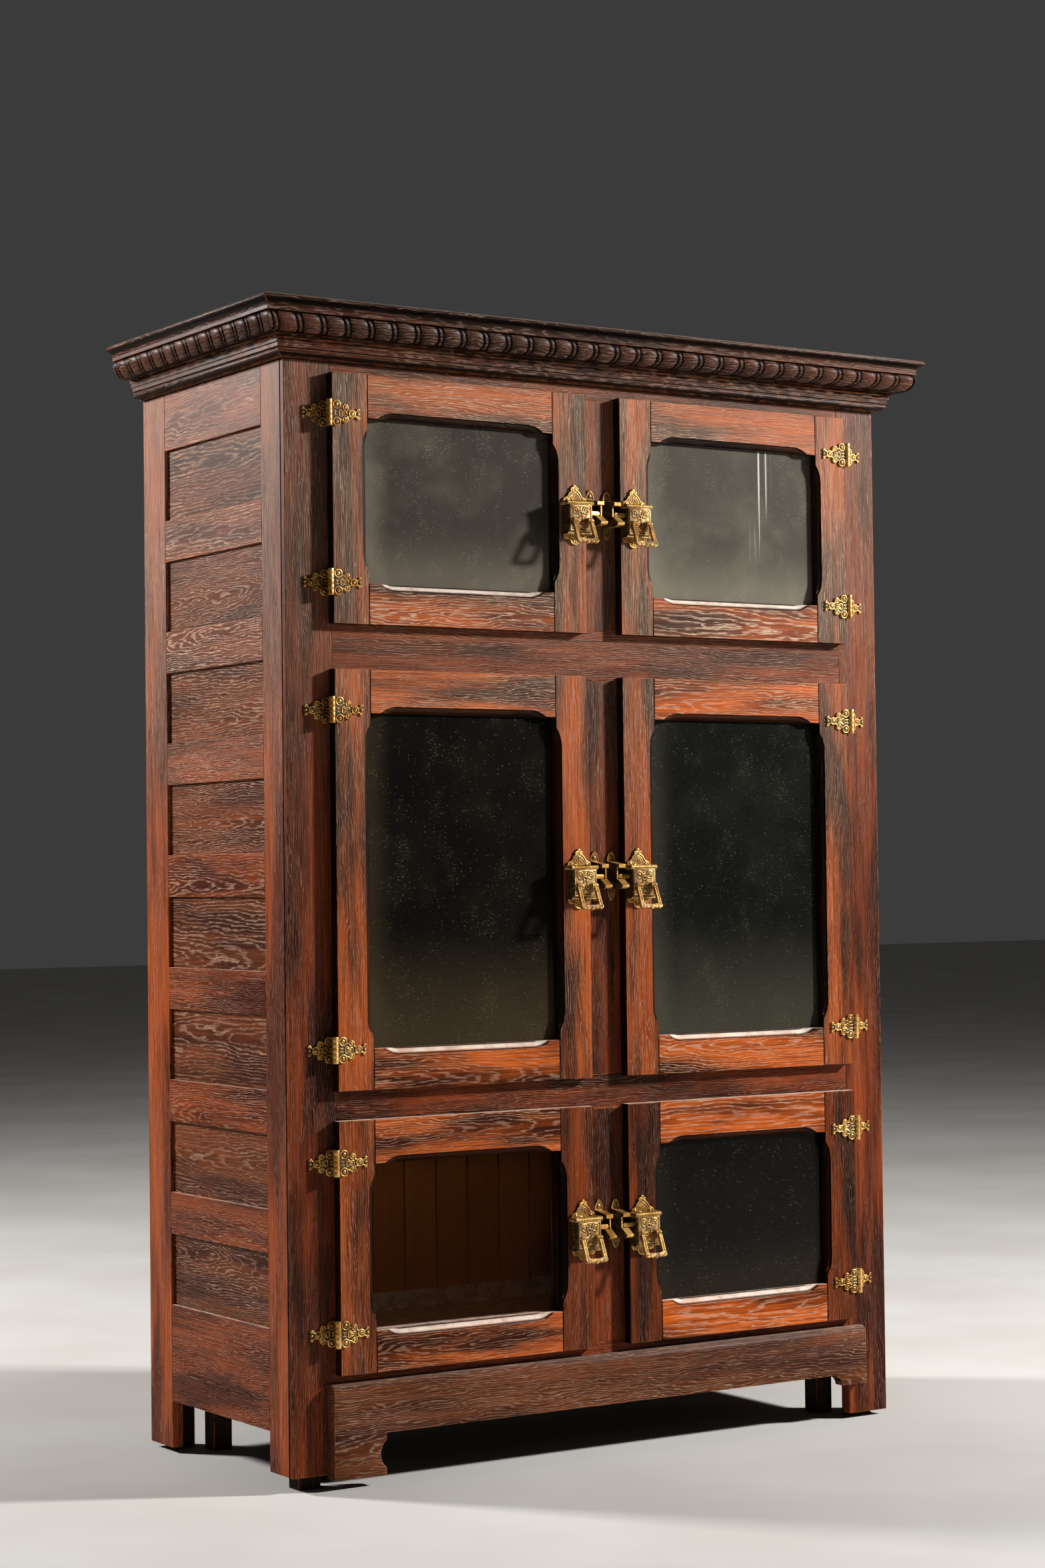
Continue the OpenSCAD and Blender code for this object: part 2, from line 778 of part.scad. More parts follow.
module base_skirt() {
    end_x = half_w - skirt_margin;
    color("sienna") {
        translate([0, front_y - skirt_t, 0])
            slab(skirt_t)
                skirt_outline();
        translate([end_x, front_y, skirt_top_z])
            rotate([90, 0, -90])
                linear_extrude(2 * end_x)
                    intersection() {
                        translate([skirt_t - skirt_ovolo_h, 0])
                            circle(skirt_ovolo_h);
                        square([skirt_t, skirt_ovolo_h]);
                    }
        block([-end_x, front_y - skirt_t + skirt_ovolo_h, skirt_top_z],
            [end_x, front_y, skirt_top_z + skirt_ovolo_h]);
    }
}

// Support legs with knee brackets, and posts in the corners

module knee() {
    rotate([90, 0, 0])
        linear_extrude(knee_t, center = true)
            difference() {
                square(knee_l);
                translate([knee_l, 0])
                    circle(knee_l - knee_toe);
            }
}

module support_legs() {
    color("dimgray") {
        for (side = [LEFT, RIGHT]) {
            on_side(side) {
                for (y = [front_y + leg_inset_y, back_y - leg_inset_y]) {
                    x = -half_w + leg_inset_x;
                    block([x, y - leg_w / 2, 0], [x + leg_w, y + leg_w / 2, bottom_z]);
                    translate([x + leg_w + seam, y, bottom_z - knee_l])
                        knee();
                }
                for (y = [inner_front_y, inner_back_y - post_d])
                    block([-inner_half_w, y, 0], [-inner_half_w + post_w, y + post_d, bottom_z]);
            }
        }
    }
}

// Insulation packed between the case and the lining

module insulation() {
    z0 = bottom_z + bottom_t;
    z1 = ceiling_z + lining_t;
    color("darkkhaki") {
        for (side = [LEFT, RIGHT])
            on_side(side)
                block([-inner_half_w, inner_front_y, z0], [-lining_half_w - seam, inner_back_y, z1 - seam]);
        block([-lining_half_w, lining_back_y, z0], [lining_half_w, inner_back_y, z1 - seam]);
        block([-inner_half_w, inner_front_y, z1], [inner_half_w, inner_back_y, top_board_z - top_board_t]);
        difference() {
            block([-lining_half_w, inner_front_y, z0],
                [lining_half_w, lining_back_y - seam, chamber_floor_z - lining_t]);
            drain_hole(z0, chamber_floor_z - lining_t);
        }
    }
}

// Lining: chamfered matchboards on the walls, plain boards above and below

module matchboard_row(length, count, height) {
    step = length / count;
    w = step - seam;
    c = lining_chamfer;
    for (i = [0 : count - 1])
        translate([i * step + seam / 2, 0, seam])
            linear_extrude(height - 2 * seam)
                polygon([[c, 0], [w - c, 0], [w, c], [w, lining_t], [0, lining_t], [0, c]]);
}

module inner_lining() {
    wall_h = ceiling_z - chamber_floor_z;
    color("burlywood") {
        translate([-chamber_half_w, chamber_back_y, chamber_floor_z])
            matchboard_row(2 * chamber_half_w, lining_boards, wall_h);
        for (side = [LEFT, RIGHT])
            on_side(side)
                translate([-chamber_half_w, inner_front_y, chamber_floor_z])
                    rotate([0, 0, 90])
                        matchboard_row(chamber_d, lining_side_boards, wall_h);
        board_row([-lining_half_w, inner_front_y, ceiling_z],
            [lining_half_w, lining_back_y, ceiling_z + lining_t], lining_flat_boards);
        difference() {
            board_row([-lining_half_w, inner_front_y, chamber_floor_z - lining_t],
                [lining_half_w, lining_back_y, chamber_floor_z], lining_flat_boards);
            drain_hole(chamber_floor_z - lining_t, chamber_floor_z);
        }
    }
}

// Zinc trays: one on the chamber floor, one under the ice

module zinc_tray(low, high, rim_h, lip_h) {
    difference() {
        block(low, [high[0], high[1], low[2] + rim_h]);
        block([low[0] + zinc_t, low[1] + zinc_t, low[2] + zinc_t],
            [high[0] - zinc_t, high[1] - zinc_t, low[2] + rim_h + cut]);
        block([low[0] + zinc_t, low[1] - cut, low[2] + lip_h],
            [high[0] - zinc_t, low[1] + 2 * zinc_t, low[2] + rim_h + cut]);
    }
}

module floor_pan() {
    color("silver")
        difference() {
            zinc_tray([-chamber_half_w, inner_front_y, chamber_floor_z], [chamber_half_w, chamber_back_y],
                floor_rim_h, floor_lip_h);
            drain_hole(chamber_floor_z, chamber_floor_z + zinc_t);
        }
}

module ice_pan() {
    side_x = chamber_half_w - ice_pan_gap;
    color("silver")
        difference() {
            zinc_tray([-side_x, inner_front_y + ice_pan_gap, pan_z], [side_x, chamber_back_y - ice_pan_gap],
                ice_rim_h, ice_rim_h);
            drain_hole(pan_z, pan_z + zinc_t);
        }
}

// Ice deck on cleats, and the slatted rack that keeps the ice out of the melt water

module ice_deck() {
    color("tan") {
        difference() {
            block([-chamber_half_w, inner_front_y, deck_z],
                [chamber_half_w, chamber_back_y, deck_z + deck_t]);
            drain_hole(deck_z, deck_z + deck_t);
        }
        for (side = [LEFT, RIGHT])
            on_side(side)
                block([-chamber_half_w, inner_front_y, deck_z - cleat],
                    [-chamber_half_w + cleat, chamber_back_y, deck_z - seam]);
    }
}

module ice_rack() {
    inset = ice_pan_gap + zinc_t + rack_gap;
    side_x = chamber_half_w - inset;
    y0 = inner_front_y + inset;
    y1 = chamber_back_y - flue;
    slat_step = (2 * side_x - rack_slat_w) / (rack_slats - 1);
    slat_z = rack_z + rack_runner_h;
    color("tan") {
        for (y = [y0, (y0 + y1 - rack_runner_w) / 2, y1 - rack_runner_w])
            block([-side_x, y, rack_z], [side_x, y + rack_runner_w, slat_z - seam]);
        for (i = [0 : rack_slats - 1])
            block([-side_x + i * slat_step, y0, slat_z],
                [-side_x + i * slat_step + rack_slat_w, y1, slat_z + rack_slat_t]);
    }
}

// Drain pipe with a flange that hangs in the ice pan

module drain_pipe() {
    color("darkgray")
        translate([drain_x, drain_y, 0])
            difference() {
                union() {
                    translate([0, 0, drain_end_z])
                        cylinder(r = drain_r, h = pan_z + zinc_t - drain_end_z);
                    translate([0, 0, pan_z + zinc_t])
                        cylinder(r = drain_r + drain_flange, h = zinc_t);
                }
                translate([0, 0, drain_end_z - cut])
                    cylinder(r = drain_r - drain_wall, h = pan_z + 2 * zinc_t - drain_end_z + 2 * cut);
            }
}

// Slatted provision shelves on side cleats

module shelf(z) {
    depth = chamber_d - flue;
    step = (depth - shelf_slat_w) / (shelf_slats - 1);
    for (i = [0 : shelf_slats - 1])
        block([-chamber_half_w, inner_front_y + i * step, z],
            [chamber_half_w, inner_front_y + i * step + shelf_slat_w, z + shelf_slat_t]);
    for (side = [LEFT, RIGHT])
        on_side(side)
            block([-chamber_half_w, inner_front_y, z - cleat],
                [-chamber_half_w + cleat, chamber_back_y, z - seam]);
}

module shelves() {
    color("tan") {
        shelf(middle_z + middle_door_h / 2);
        shelf(middle_z - lower_rail_gap / 2);
    }
}

// Doors: stiles and rails with a stopped moulding, a plug behind, beads round the inner pane

// Length over which the round cutter leaves the wood at each end of a moulding
run_out = sqrt(pow(cutter_r, 2) - pow(cutter_r - moulding_w, 2));

function sight_z(row) = door_z[row] + door_bottom_rail_w;
function sight_h(row) = door_h[row] - door_bottom_rail_w - door_top_rail_w;

module moulding_cut_outline() {
    round_x = moulding_w - moulding_step;
    round_y = moulding_fillet + moulding_quirk + moulding_r;
    translate([-cut, -cut])
        square([moulding_w + cut, moulding_fillet + cut]);
    difference() {
        translate([-cut, -cut])
            square([round_x + cut, round_y + cut]);
        translate([round_x, round_y])
            circle(moulding_r);
    }
}

// Cut for one moulded edge along X, with the glass below it and the face towards -Y
module moulding_cut(length) {
    reach = cutter_r - moulding_w;
    rotate([90, 0, 90])
        linear_extrude(length)
            mirror([1, 0])
                rotate([0, 0, 90])
                    moulding_cut_outline();
    moulding_end(reach);
    translate([length, 0, 0])
        mirror([1, 0, 0])
            moulding_end(reach);
}

// Quarter turn of the cutter at the end of a moulded edge
module moulding_end(reach) {
    translate([0, 0, -reach])
        rotate([-90, 0, 0])
            rotate([0, 0, -90])
                rotate_extrude(angle = -90)
                    translate([reach, 0])
                        moulding_cut_outline();
}

module glass_rabbet(row, y0, y1) {
    x0 = -door_edge_x + door_stile_w - rabbet_w;
    block([x0, y0, sight_z(row) - rabbet_w],
        [x0 + sight_w + 2 * rabbet_w, y1, sight_z(row) + sight_h(row) + rabbet_w]);
}

module door_stile(row, x0, turned) {
    run = sight_h(row) - 2 * (stile_stop + run_out);
    inner_x = turned ? x0 : x0 + door_stile_w;
    difference() {
        block([x0, door_face_y, door_z[row]], [x0 + door_stile_w, front_y, door_z[row] + door_h[row]]);
        glass_rabbet(row, front_y - glass_t, front_y + cut);
        translate([inner_x, door_face_y, sight_z(row) + sight_h(row) / 2])
            rotate([0, turned ? 90 : -90, 0])
                translate([-run / 2, 0, 0])
                    moulding_cut(run);
    }
}

module door_rail(row, z0, z1, below) {
    run = sight_w - 2 * (rail_stop + run_out);
    x0 = -door_edge_x + door_stile_w;
    difference() {
        block([x0 + seam, door_face_y, z0], [x0 + sight_w - seam, front_y, z1]);
        glass_rabbet(row, front_y - glass_t, front_y + cut);
        translate([x0 + sight_w / 2, door_face_y, below ? z1 : z0])
            rotate([0, below ? 180 : 0, 0])
                translate([-run / 2, 0, 0])
                    moulding_cut(run);
    }
}

module door_plug(row) {
    edge = door_lip + plug_gap;
    x0 = -door_edge_x + edge;
    x1 = -door_edge_x + door_w - edge;
    z0 = door_z[row] + edge;
    z1 = door_z[row] + door_h[row] - edge;
    sx0 = -door_edge_x + door_stile_w;
    sx1 = sx0 + sight_w;
    y0 = front_y + seam;
    y1 = front_y + plug_t;
    difference() {
        union() {
            block([x0, y0, z0], [sx0 - seam, y1, z1]);
            block([sx1 + seam, y0, z0], [x1, y1, z1]);
            block([sx0, y0, z0], [sx1, y1, sight_z(row)]);
            block([sx0, y0, sight_z(row) + sight_h(row)], [sx1, y1, z1]);
        }
        glass_rabbet(row, y1 - bead_t - glass_t, y1 + cut);
    }
}

module glass_beads(row) {
    w = rabbet_w - seam;
    x0 = -door_edge_x + door_stile_w - w;
    x1 = x0 + sight_w + 2 * w;
    z0 = sight_z(row) - w;
    z1 = sight_z(row) + sight_h(row) + w;
    y0 = front_y + plug_t - bead_t;
    y1 = front_y + plug_t;
    block([x0, y0, z0], [x0 + w, y1, z1]);
    block([x1 - w, y0, z0], [x1, y1, z1]);
    block([x0 + w + seam, y0, z0], [x1 - w - seam, y1, z0 + w]);
    block([x0 + w + seam, y0, z1 - w], [x1 - w - seam, y1, z1]);
}

module door(row, side) {
    color("sienna")
        on_side(side) {
            door_stile(row, -door_edge_x, false);
            door_stile(row, -door_edge_x + door_w - door_stile_w, true);
            door_rail(row, sight_z(row) + sight_h(row), door_z[row] + door_h[row], false);
            door_rail(row, door_z[row], sight_z(row), true);
            door_plug(row);
            glass_beads(row);
        }
}

module pane(row, y0) {
    hold = rabbet_w - glass_play;
    x0 = -door_edge_x + door_stile_w - hold;
    block([x0, y0, sight_z(row) - hold],
        [x0 + sight_w + 2 * hold, y0 + glass_t, sight_z(row) + sight_h(row) + hold]);
}

module door_glass(row, side) {
    color("lightsteelblue", 0.5)
        on_side(side) {
            pane(row, front_y - glass_t);
            pane(row, front_y + plug_t - bead_t - glass_t);
        }
}

// Hinges: a scrolled leaf on the door, an offset leaf on the face frame, and a pin

module leaf_outline(length) {
    disc_z = barrel_h / 2 - leaf_disc_r;
    ring_x = length - leaf_ring_inset;
    bead_x = length - leaf_bead_r;
    difference() {
        union() {
            for (flip = [-1, 1]) {
                translate([leaf_disc_r, flip * disc_z])
                    circle(leaf_disc_r);
                translate([leaf_scroll_x, flip * leaf_scroll_z])
                    circle(leaf_scroll_r);
                translate([bead_x, flip * leaf_bead_gap])
                    circle(leaf_bead_r);
            }
            translate([ring_x, 0])
                circle(leaf_ring_r);
            translate([bead_x, 0])
                circle(leaf_bead_r);
            polygon([[0, -disc_z], [leaf_disc_r, -disc_z], [leaf_scroll_x, -leaf_scroll_z], [ring_x, 0],
                [leaf_scroll_x, leaf_scroll_z], [leaf_disc_r, disc_z], [0, disc_z]]);
            polygon([[ring_x, 0], [bead_x, -leaf_bead_gap], [bead_x, leaf_bead_gap]]);
            translate([0, leaf_trim - barrel_h / 2])
                square([leaf_disc_r, barrel_h - 2 * leaf_trim]);
        }
        translate([leaf_scroll_x - leaf_hole_r, 0])
            circle(leaf_hole_r);
        for (flip = [-1, 1])
            translate([leaf_disc_r, flip * leaf_hole_r])
                circle(leaf_hole_r / 2);
    }
}

module knuckle(index) {
    translate([0, 0, -barrel_h / 2 + index * knuckle_h + knuckle_gap / 2])
        difference() {
            union() {
                cylinder(r = barrel_r, h = knuckle_h - knuckle_gap);
                children();
            }
            translate([0, 0, -cut])
                cylinder(r = pin_r + pin_play, h = knuckle_h + 2 * cut);
        }
}

module door_leaf() {
    root_x = barrel_r + barrel_gap;
    for (index = [1, 3])
        knuckle(index)
            block([0, -leaf_t / 2, 0], [root_x + 1, leaf_t / 2, knuckle_h - knuckle_gap]);
    translate([root_x + barrel_gap, -leaf_t / 2, 0])
        slab(leaf_t)
            leaf_outline(door_leaf_len);
}

module frame_leaf() {
    strap_x1 = barrel_r;
    strap_x0 = strap_x1 - leaf_t;
    strap_y0 = barrel_r + strap_gap;
    frame_y = leaf_t / 2 + overlay_t;
    for (index = [0, 2, 4])
        knuckle(index)
            block([strap_x0, 0, 0], [strap_x1, strap_y0 + cut, knuckle_h - knuckle_gap]);
    block([strap_x0, strap_y0, leaf_trim - barrel_h / 2], [strap_x1, frame_y, barrel_h / 2 - leaf_trim]);
    translate([strap_x1, frame_y - leaf_t, 0])
        mirror([1, 0, 0])
            slab(leaf_t)
                leaf_outline(frame_leaf_len);
}

module at_hinges(row) {
    for (z = [door_z[row] + hinge_inset, door_z[row] + door_h[row] - hinge_inset])
        translate([axis_x, axis_y, z])
            children();
}

module door_hinge_leaves(row, side) {
    color("goldenrod")
        on_side(side)
            at_hinges(row)
                door_leaf();
}

module frame_hinge_leaves() {
    color("goldenrod")
        for (side = [LEFT, RIGHT])
            for (row = [UPPER, MIDDLE, LOWER])
                on_side(side)
                    at_hinges(row)
                        frame_leaf();
}

module hinge_pins() {
    color("darkgoldenrod")
        for (side = [LEFT, RIGHT])
            for (row = [UPPER, MIDDLE, LOWER])
                on_side(side)
                    at_hinges(row)
                        cylinder(r = pin_r, h = barrel_h, center = true);
}

// Latches: a hollow case on the door, a bail that lifts the bolt, and the bolt itself

module at_latch(row, side) {
    on_side(side)
        translate([latch_x, door_face_y, door_z[row] + door_h[row] / 2])
            children();
}

module plate_outline() {
    half = case_w / 2;
    finial_z = case_top + crest_h - finial_r;
    translate([-half, case_bottom - tail_l / 2])
        square([case_w, case_h + tail_l / 2]);
    for (flip = [-1, 1]) {
        translate([flip * (half + ledge_over / 2 - crest_shoulder_r), case_top + crest_shoulder_z])
            circle(crest_shoulder_r);
        translate([flip * finial_spread / 2, finial_z - finial_r])
            circle(finial_r);
    }
    translate([0, case_top + crest_dome_z])
        circle(crest_dome_r);
    translate([0, finial_z])
        circle(finial_r);
    translate([-finial_stem_w / 2, case_top])
        square([finial_stem_w, finial_z - case_top]);
    translate([0, case_bottom - tail_l + roundel_r])
        circle(roundel_r);
}

module rope_bar() {
    half = case_w / 2 + ledge_over;
    bar_y = -case_d + rope_r;
    bar_z = case_top + rope_r - rope_sink;
    translate([-half, bar_y, bar_z])
        rotate([0, 90, 0])
            cylinder(r = rope_r, h = 2 * half);
    for (x = [-half, half])
        translate([x, bar_y, bar_z]) {
            sphere(rope_r + rope_ball);
            rotate([-90, 0, 0])
                cylinder(r = rope_r, h = -bar_y - plate_t / 2);
        }
}

module lug(x) {
    difference() {
        union() {
            block([x, bail_y, bail_z - lug_r], [x + lug_w, -case_d + case_wall / 2, bail_z + lug_r]);
            translate([x, bail_y, bail_z])
                rotate([0, 90, 0])
                    cylinder(r = lug_r, h = lug_w);
        }
        translate([x - cut, bail_y, bail_z])
            rotate([0, 90, 0])
                cylinder(r = bail_pin_r + pin_play, h = lug_w + 2 * cut);
    }
}

module bolt_slot() {
    arm = case_w / 2 - bolt_pivot_x;
    block([case_w / 2 - case_wall - cut, -bolt_set - bolt_t / 2 - slot_play,
            bolt_z - bolt_h / 2 - arm * tan(bolt_drop_deg) - slot_play],
        [case_w / 2 + cut, -bolt_set + bolt_t / 2 + slot_play,
            bolt_z + bolt_h / 2 + arm * tan(bolt_rise_deg) + slot_play]);
}

module latch_case() {
    half = case_w / 2;
    translate([0, -plate_t, 0])
        slab(plate_t)
            plate_outline();
    difference() {
        block([-half, -case_d, case_bottom], [half, -plate_t, case_top]);
        block([-half + case_wall, -case_d + case_wall, case_bottom + case_wall],
            [half - case_wall, -plate_t + cut, case_top - case_wall]);
        bolt_slot();
    }
    rope_bar();
    block([-half - ledge_over, -case_d + ledge_set, case_bottom - ledge_h],
        [half + ledge_over, -plate_t, case_bottom]);
    lug(lug_x);
    lug(-lug_x - lug_w);
    translate([bolt_pivot_x, -case_d + case_wall / 2, bolt_z])
        rotate([-90, 0, 0])
            cylinder(r = pin_r, h = case_d - case_wall / 2 - plate_t / 2);
}

module door_latch_case(row, side) {
    color("gold")
        at_latch(row, side)
            latch_case();
}

module bail_outline() {
    half = bail_w / 2;
    arm = bail_arm_w / 2;
    foot = bail_l - bail_foot;
    for (flip = [-1, 1]) {
        polygon([[flip * (half - arm), 0], [flip * (half + arm), 0],
            [flip * (half + arm + bail_flare), -foot], [flip * (half - arm), -foot]]);
        translate([flip * (half - arm / 2), -foot])
            circle(bail_corner_r);
        translate([flip * (half - bail_corner_r - bail_wave_r), -foot - bail_bar_h / 4])
            circle(bail_wave_r);
    }
    translate([0, bail_lobe_r - bail_l])
        circle(bail_lobe_r);
    translate([-half, -foot - bail_bar_h / 2])
        square([bail_w, bail_bar_h]);
}

module bail() {
    translate([0, bail_y, bail_z])
        rotate([-bail_lean, 0, 0]) {
            translate([0, -bail_t / 2, 0])
                slab(bail_t)
                    bail_outline();
            for (x = [-bail_w / 2 - bail_arm_w / 2, bail_w / 2 - bail_arm_w / 2])
                translate([x, 0, 0])
                    rotate([0, 90, 0])
                        cylinder(r = bail_eye_r, h = bail_arm_w);
            for (x = [-bail_w / 2, lug_x])
                translate([x, 0, 0])
                    rotate([0, 90, 0])
                        cylinder(r = bail_pin_r, h = bail_arm_w / 2 + bail_gap + lug_w);
        }
}

module door_bail(row, side) {
    color("gold")
        at_latch(row, side)
            bail();
}

module bolt() {
    nose_r = bolt_h / 2;
    difference() {
        translate([0, -bolt_set - bolt_t / 2, bolt_z])
            slab(bolt_t) {
                translate([bolt_pivot_x, -nose_r])
                    square([bolt_tip_x - bolt_pivot_x - nose_r, bolt_h]);
                translate([bolt_tip_x - nose_r, 0])
                    circle(nose_r);
                translate([bolt_pivot_x, 0])
                    circle(nose_r + bolt_eye);
            }
        translate([bolt_pivot_x, 0, bolt_z])
            rotate([90, 0, 0])
                cylinder(r = pin_r + pin_play, h = case_d);
    }
}

module door_bolt(row, side) {
    color("gold")
        at_latch(row, side)
            bolt();
}

// Strikes: a reeded web on the mullion with an arm over the bolt and a ramped hook below it

// Plane of the back of the hooks in front of the face frame, and the height of their tips
hook_back = overlay_t + bolt_set + bolt_t / 2 + hook_play;
hook_z = bolt_z - bolt_h / 2 - hook_gap;

// A pointed arch that stands on the X axis
module ogive(width, height) {
    r = (width * width / 4 + height * height) / width;
    intersection() {
        translate([width / 2 - r, 0])
            circle(r);
        translate([r - width / 2, 0])
            circle(r);
        translate([-width / 2, -cut])
            square([width, height + 2 * cut]);
    }
}

module hook_outline() {
    nose_z = hook_z - ramp_fall;
    floor_z = hook_z - pocket_h;
    polygon([[0, -strike_bottom], [nose_out - nose_undercut, -strike_bottom],
        [nose_out - nose_h / 2, nose_z - nose_h], [nose_out, nose_z], [hook_back + hook_tip, hook_z],
        [hook_back, hook_z], [hook_back, floor_z], [0, floor_z]]);
}

module arm_outline() {
    end_z = strike_top - roof_fall;
    polygon([[0, end_z - arm_h], [arm_out, end_z - arm_h], [arm_out, end_z], [0, strike_top]]);
}

module web_outline() {
    roof_z = strike_top - roof_fall * hook_back / arm_out;
    polygon([[0, -strike_bottom], [hook_back, -strike_bottom], [hook_back, roof_z], [0, strike_top]]);
    hook_outline();
    arm_outline();
}

// Outline of depth and height, given a width towards -X
module strike_member(width) {
    rotate([90, 0, -90])
        linear_extrude(width)
            children();
}

module strike() {
    middle_x = -(web_t + hook_l) / 2;
    reed_h = (strike_top - roof_fall + strike_bottom) / (reed_grooves + 1);
    difference() {
        strike_member(web_t)
            web_outline();
        for (i = [1 : reed_grooves])
            translate([-reed_groove, -nose_out, i * reed_h - strike_bottom - reed_groove / 2])
                cube([reed_groove + cut, nose_out - plate_t - reed_groove, reed_groove]);
    }
    strike_member(web_t + hook_l)
        arm_outline();
    strike_member(web_t + hook_l)
        hook_outline();
    translate([middle_x, -plate_t, strike_top])
        slab(plate_t)
            ogive(strike_tab_w, strike_tab_h);
    translate([middle_x, -plate_t, -strike_bottom])
        slab(plate_t)
            mirror([0, 1])
                ogive(strike_tab_w, strike_tail_h);
    block([-web_t - hook_l, -plate_t, -strike_bottom], [0, 0, strike_top]);
}

module strikes() {
    color("gold")
        for (side = [LEFT, RIGHT])
            on_side(side)
                for (row = [UPPER, MIDDLE, LOWER])
                    translate([-strike_offset, front_y, door_z[row] + door_h[row] / 2])
                        strike();
}

left_side_frame();
right_side_frame();
side_panels();
face_frame();
back_boards();
top_boards();
bottom_boards();
cornice();
base_skirt();
support_legs();
insulation();
inner_lining();
floor_pan();
ice_deck();
ice_pan();
ice_rack();
drain_pipe();
shelves();
frame_hinge_leaves();
hinge_pins();
strikes();
door(UPPER, LEFT);  // upper_left_door
door_glass(UPPER, LEFT);  // upper_left_glass
door_hinge_leaves(UPPER, LEFT);  // upper_left_hinge_leaves
door_latch_case(UPPER, LEFT);  // upper_left_latch_case
door_bail(UPPER, LEFT);  // upper_left_bail
door_bolt(UPPER, LEFT);  // upper_left_bolt
door(UPPER, RIGHT);  // upper_right_door
door_glass(UPPER, RIGHT);  // upper_right_glass
door_hinge_leaves(UPPER, RIGHT);  // upper_right_hinge_leaves
door_latch_case(UPPER, RIGHT);  // upper_right_latch_case
door_bail(UPPER, RIGHT);  // upper_right_bail
door_bolt(UPPER, RIGHT);  // upper_right_bolt
door(MIDDLE, LEFT);  // middle_left_door
door_glass(MIDDLE, LEFT);  // middle_left_glass
door_hinge_leaves(MIDDLE, LEFT);  // middle_left_hinge_leaves
door_latch_case(MIDDLE, LEFT);  // middle_left_latch_case
door_bail(MIDDLE, LEFT);  // middle_left_bail
door_bolt(MIDDLE, LEFT);  // middle_left_bolt
door(MIDDLE, RIGHT);  // middle_right_door
door_glass(MIDDLE, RIGHT);  // middle_right_glass
door_hinge_leaves(MIDDLE, RIGHT);  // middle_right_hinge_leaves
door_latch_case(MIDDLE, RIGHT);  // middle_right_latch_case
door_bail(MIDDLE, RIGHT);  // middle_right_bail
door_bolt(MIDDLE, RIGHT);  // middle_right_bolt
door(LOWER, LEFT);  // lower_left_door
door_glass(LOWER, LEFT);  // lower_left_glass
door_hinge_leaves(LOWER, LEFT);  // lower_left_hinge_leaves
door_latch_case(LOWER, LEFT);  // lower_left_latch_case
door_bail(LOWER, LEFT);  // lower_left_bail
door_bolt(LOWER, LEFT);  // lower_left_bolt
door(LOWER, RIGHT);  // lower_right_door
door_glass(LOWER, RIGHT);  // lower_right_glass
door_hinge_leaves(LOWER, RIGHT);  // lower_right_hinge_leaves
door_latch_case(LOWER, RIGHT);  // lower_right_latch_case
door_bail(LOWER, RIGHT);  // lower_right_bail
door_bolt(LOWER, RIGHT);  // lower_right_bolt
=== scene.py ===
import json
import math
import random

import bmesh
import bpy
from mathutils import Matrix, Vector


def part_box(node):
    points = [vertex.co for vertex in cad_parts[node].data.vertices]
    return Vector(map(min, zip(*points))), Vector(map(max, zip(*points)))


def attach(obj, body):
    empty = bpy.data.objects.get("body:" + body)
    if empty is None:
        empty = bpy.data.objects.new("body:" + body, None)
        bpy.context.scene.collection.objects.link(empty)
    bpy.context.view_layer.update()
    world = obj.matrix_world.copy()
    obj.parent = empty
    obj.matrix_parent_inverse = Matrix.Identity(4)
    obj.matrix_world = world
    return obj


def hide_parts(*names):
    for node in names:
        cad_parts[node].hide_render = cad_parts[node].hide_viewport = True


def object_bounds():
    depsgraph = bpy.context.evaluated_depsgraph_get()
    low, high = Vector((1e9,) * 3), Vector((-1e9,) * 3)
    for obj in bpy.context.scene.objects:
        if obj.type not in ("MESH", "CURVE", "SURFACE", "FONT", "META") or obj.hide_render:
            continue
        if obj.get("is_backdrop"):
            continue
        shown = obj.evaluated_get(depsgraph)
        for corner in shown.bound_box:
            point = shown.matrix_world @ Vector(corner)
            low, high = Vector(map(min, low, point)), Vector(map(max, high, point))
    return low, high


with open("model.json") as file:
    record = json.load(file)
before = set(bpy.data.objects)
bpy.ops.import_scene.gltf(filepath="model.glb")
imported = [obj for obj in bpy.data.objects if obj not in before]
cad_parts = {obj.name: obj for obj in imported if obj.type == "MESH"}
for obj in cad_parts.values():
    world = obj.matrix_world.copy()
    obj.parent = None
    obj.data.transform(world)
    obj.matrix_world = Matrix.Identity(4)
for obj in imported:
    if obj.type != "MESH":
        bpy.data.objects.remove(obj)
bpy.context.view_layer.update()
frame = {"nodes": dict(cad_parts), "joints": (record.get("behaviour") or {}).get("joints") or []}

MM = 0.001

# Side frames: stiles and rails of stained oak, joined by stub tenons, one frame to each side.
# The boards were planed, their edges have worn soft and orange, and the open pores of the
# wood have filled with pale dust, so the figure stands out grey on red brown.

weld, flat_angle, round_angle = 0.005 * MM, math.radians(0.4), math.radians(32)


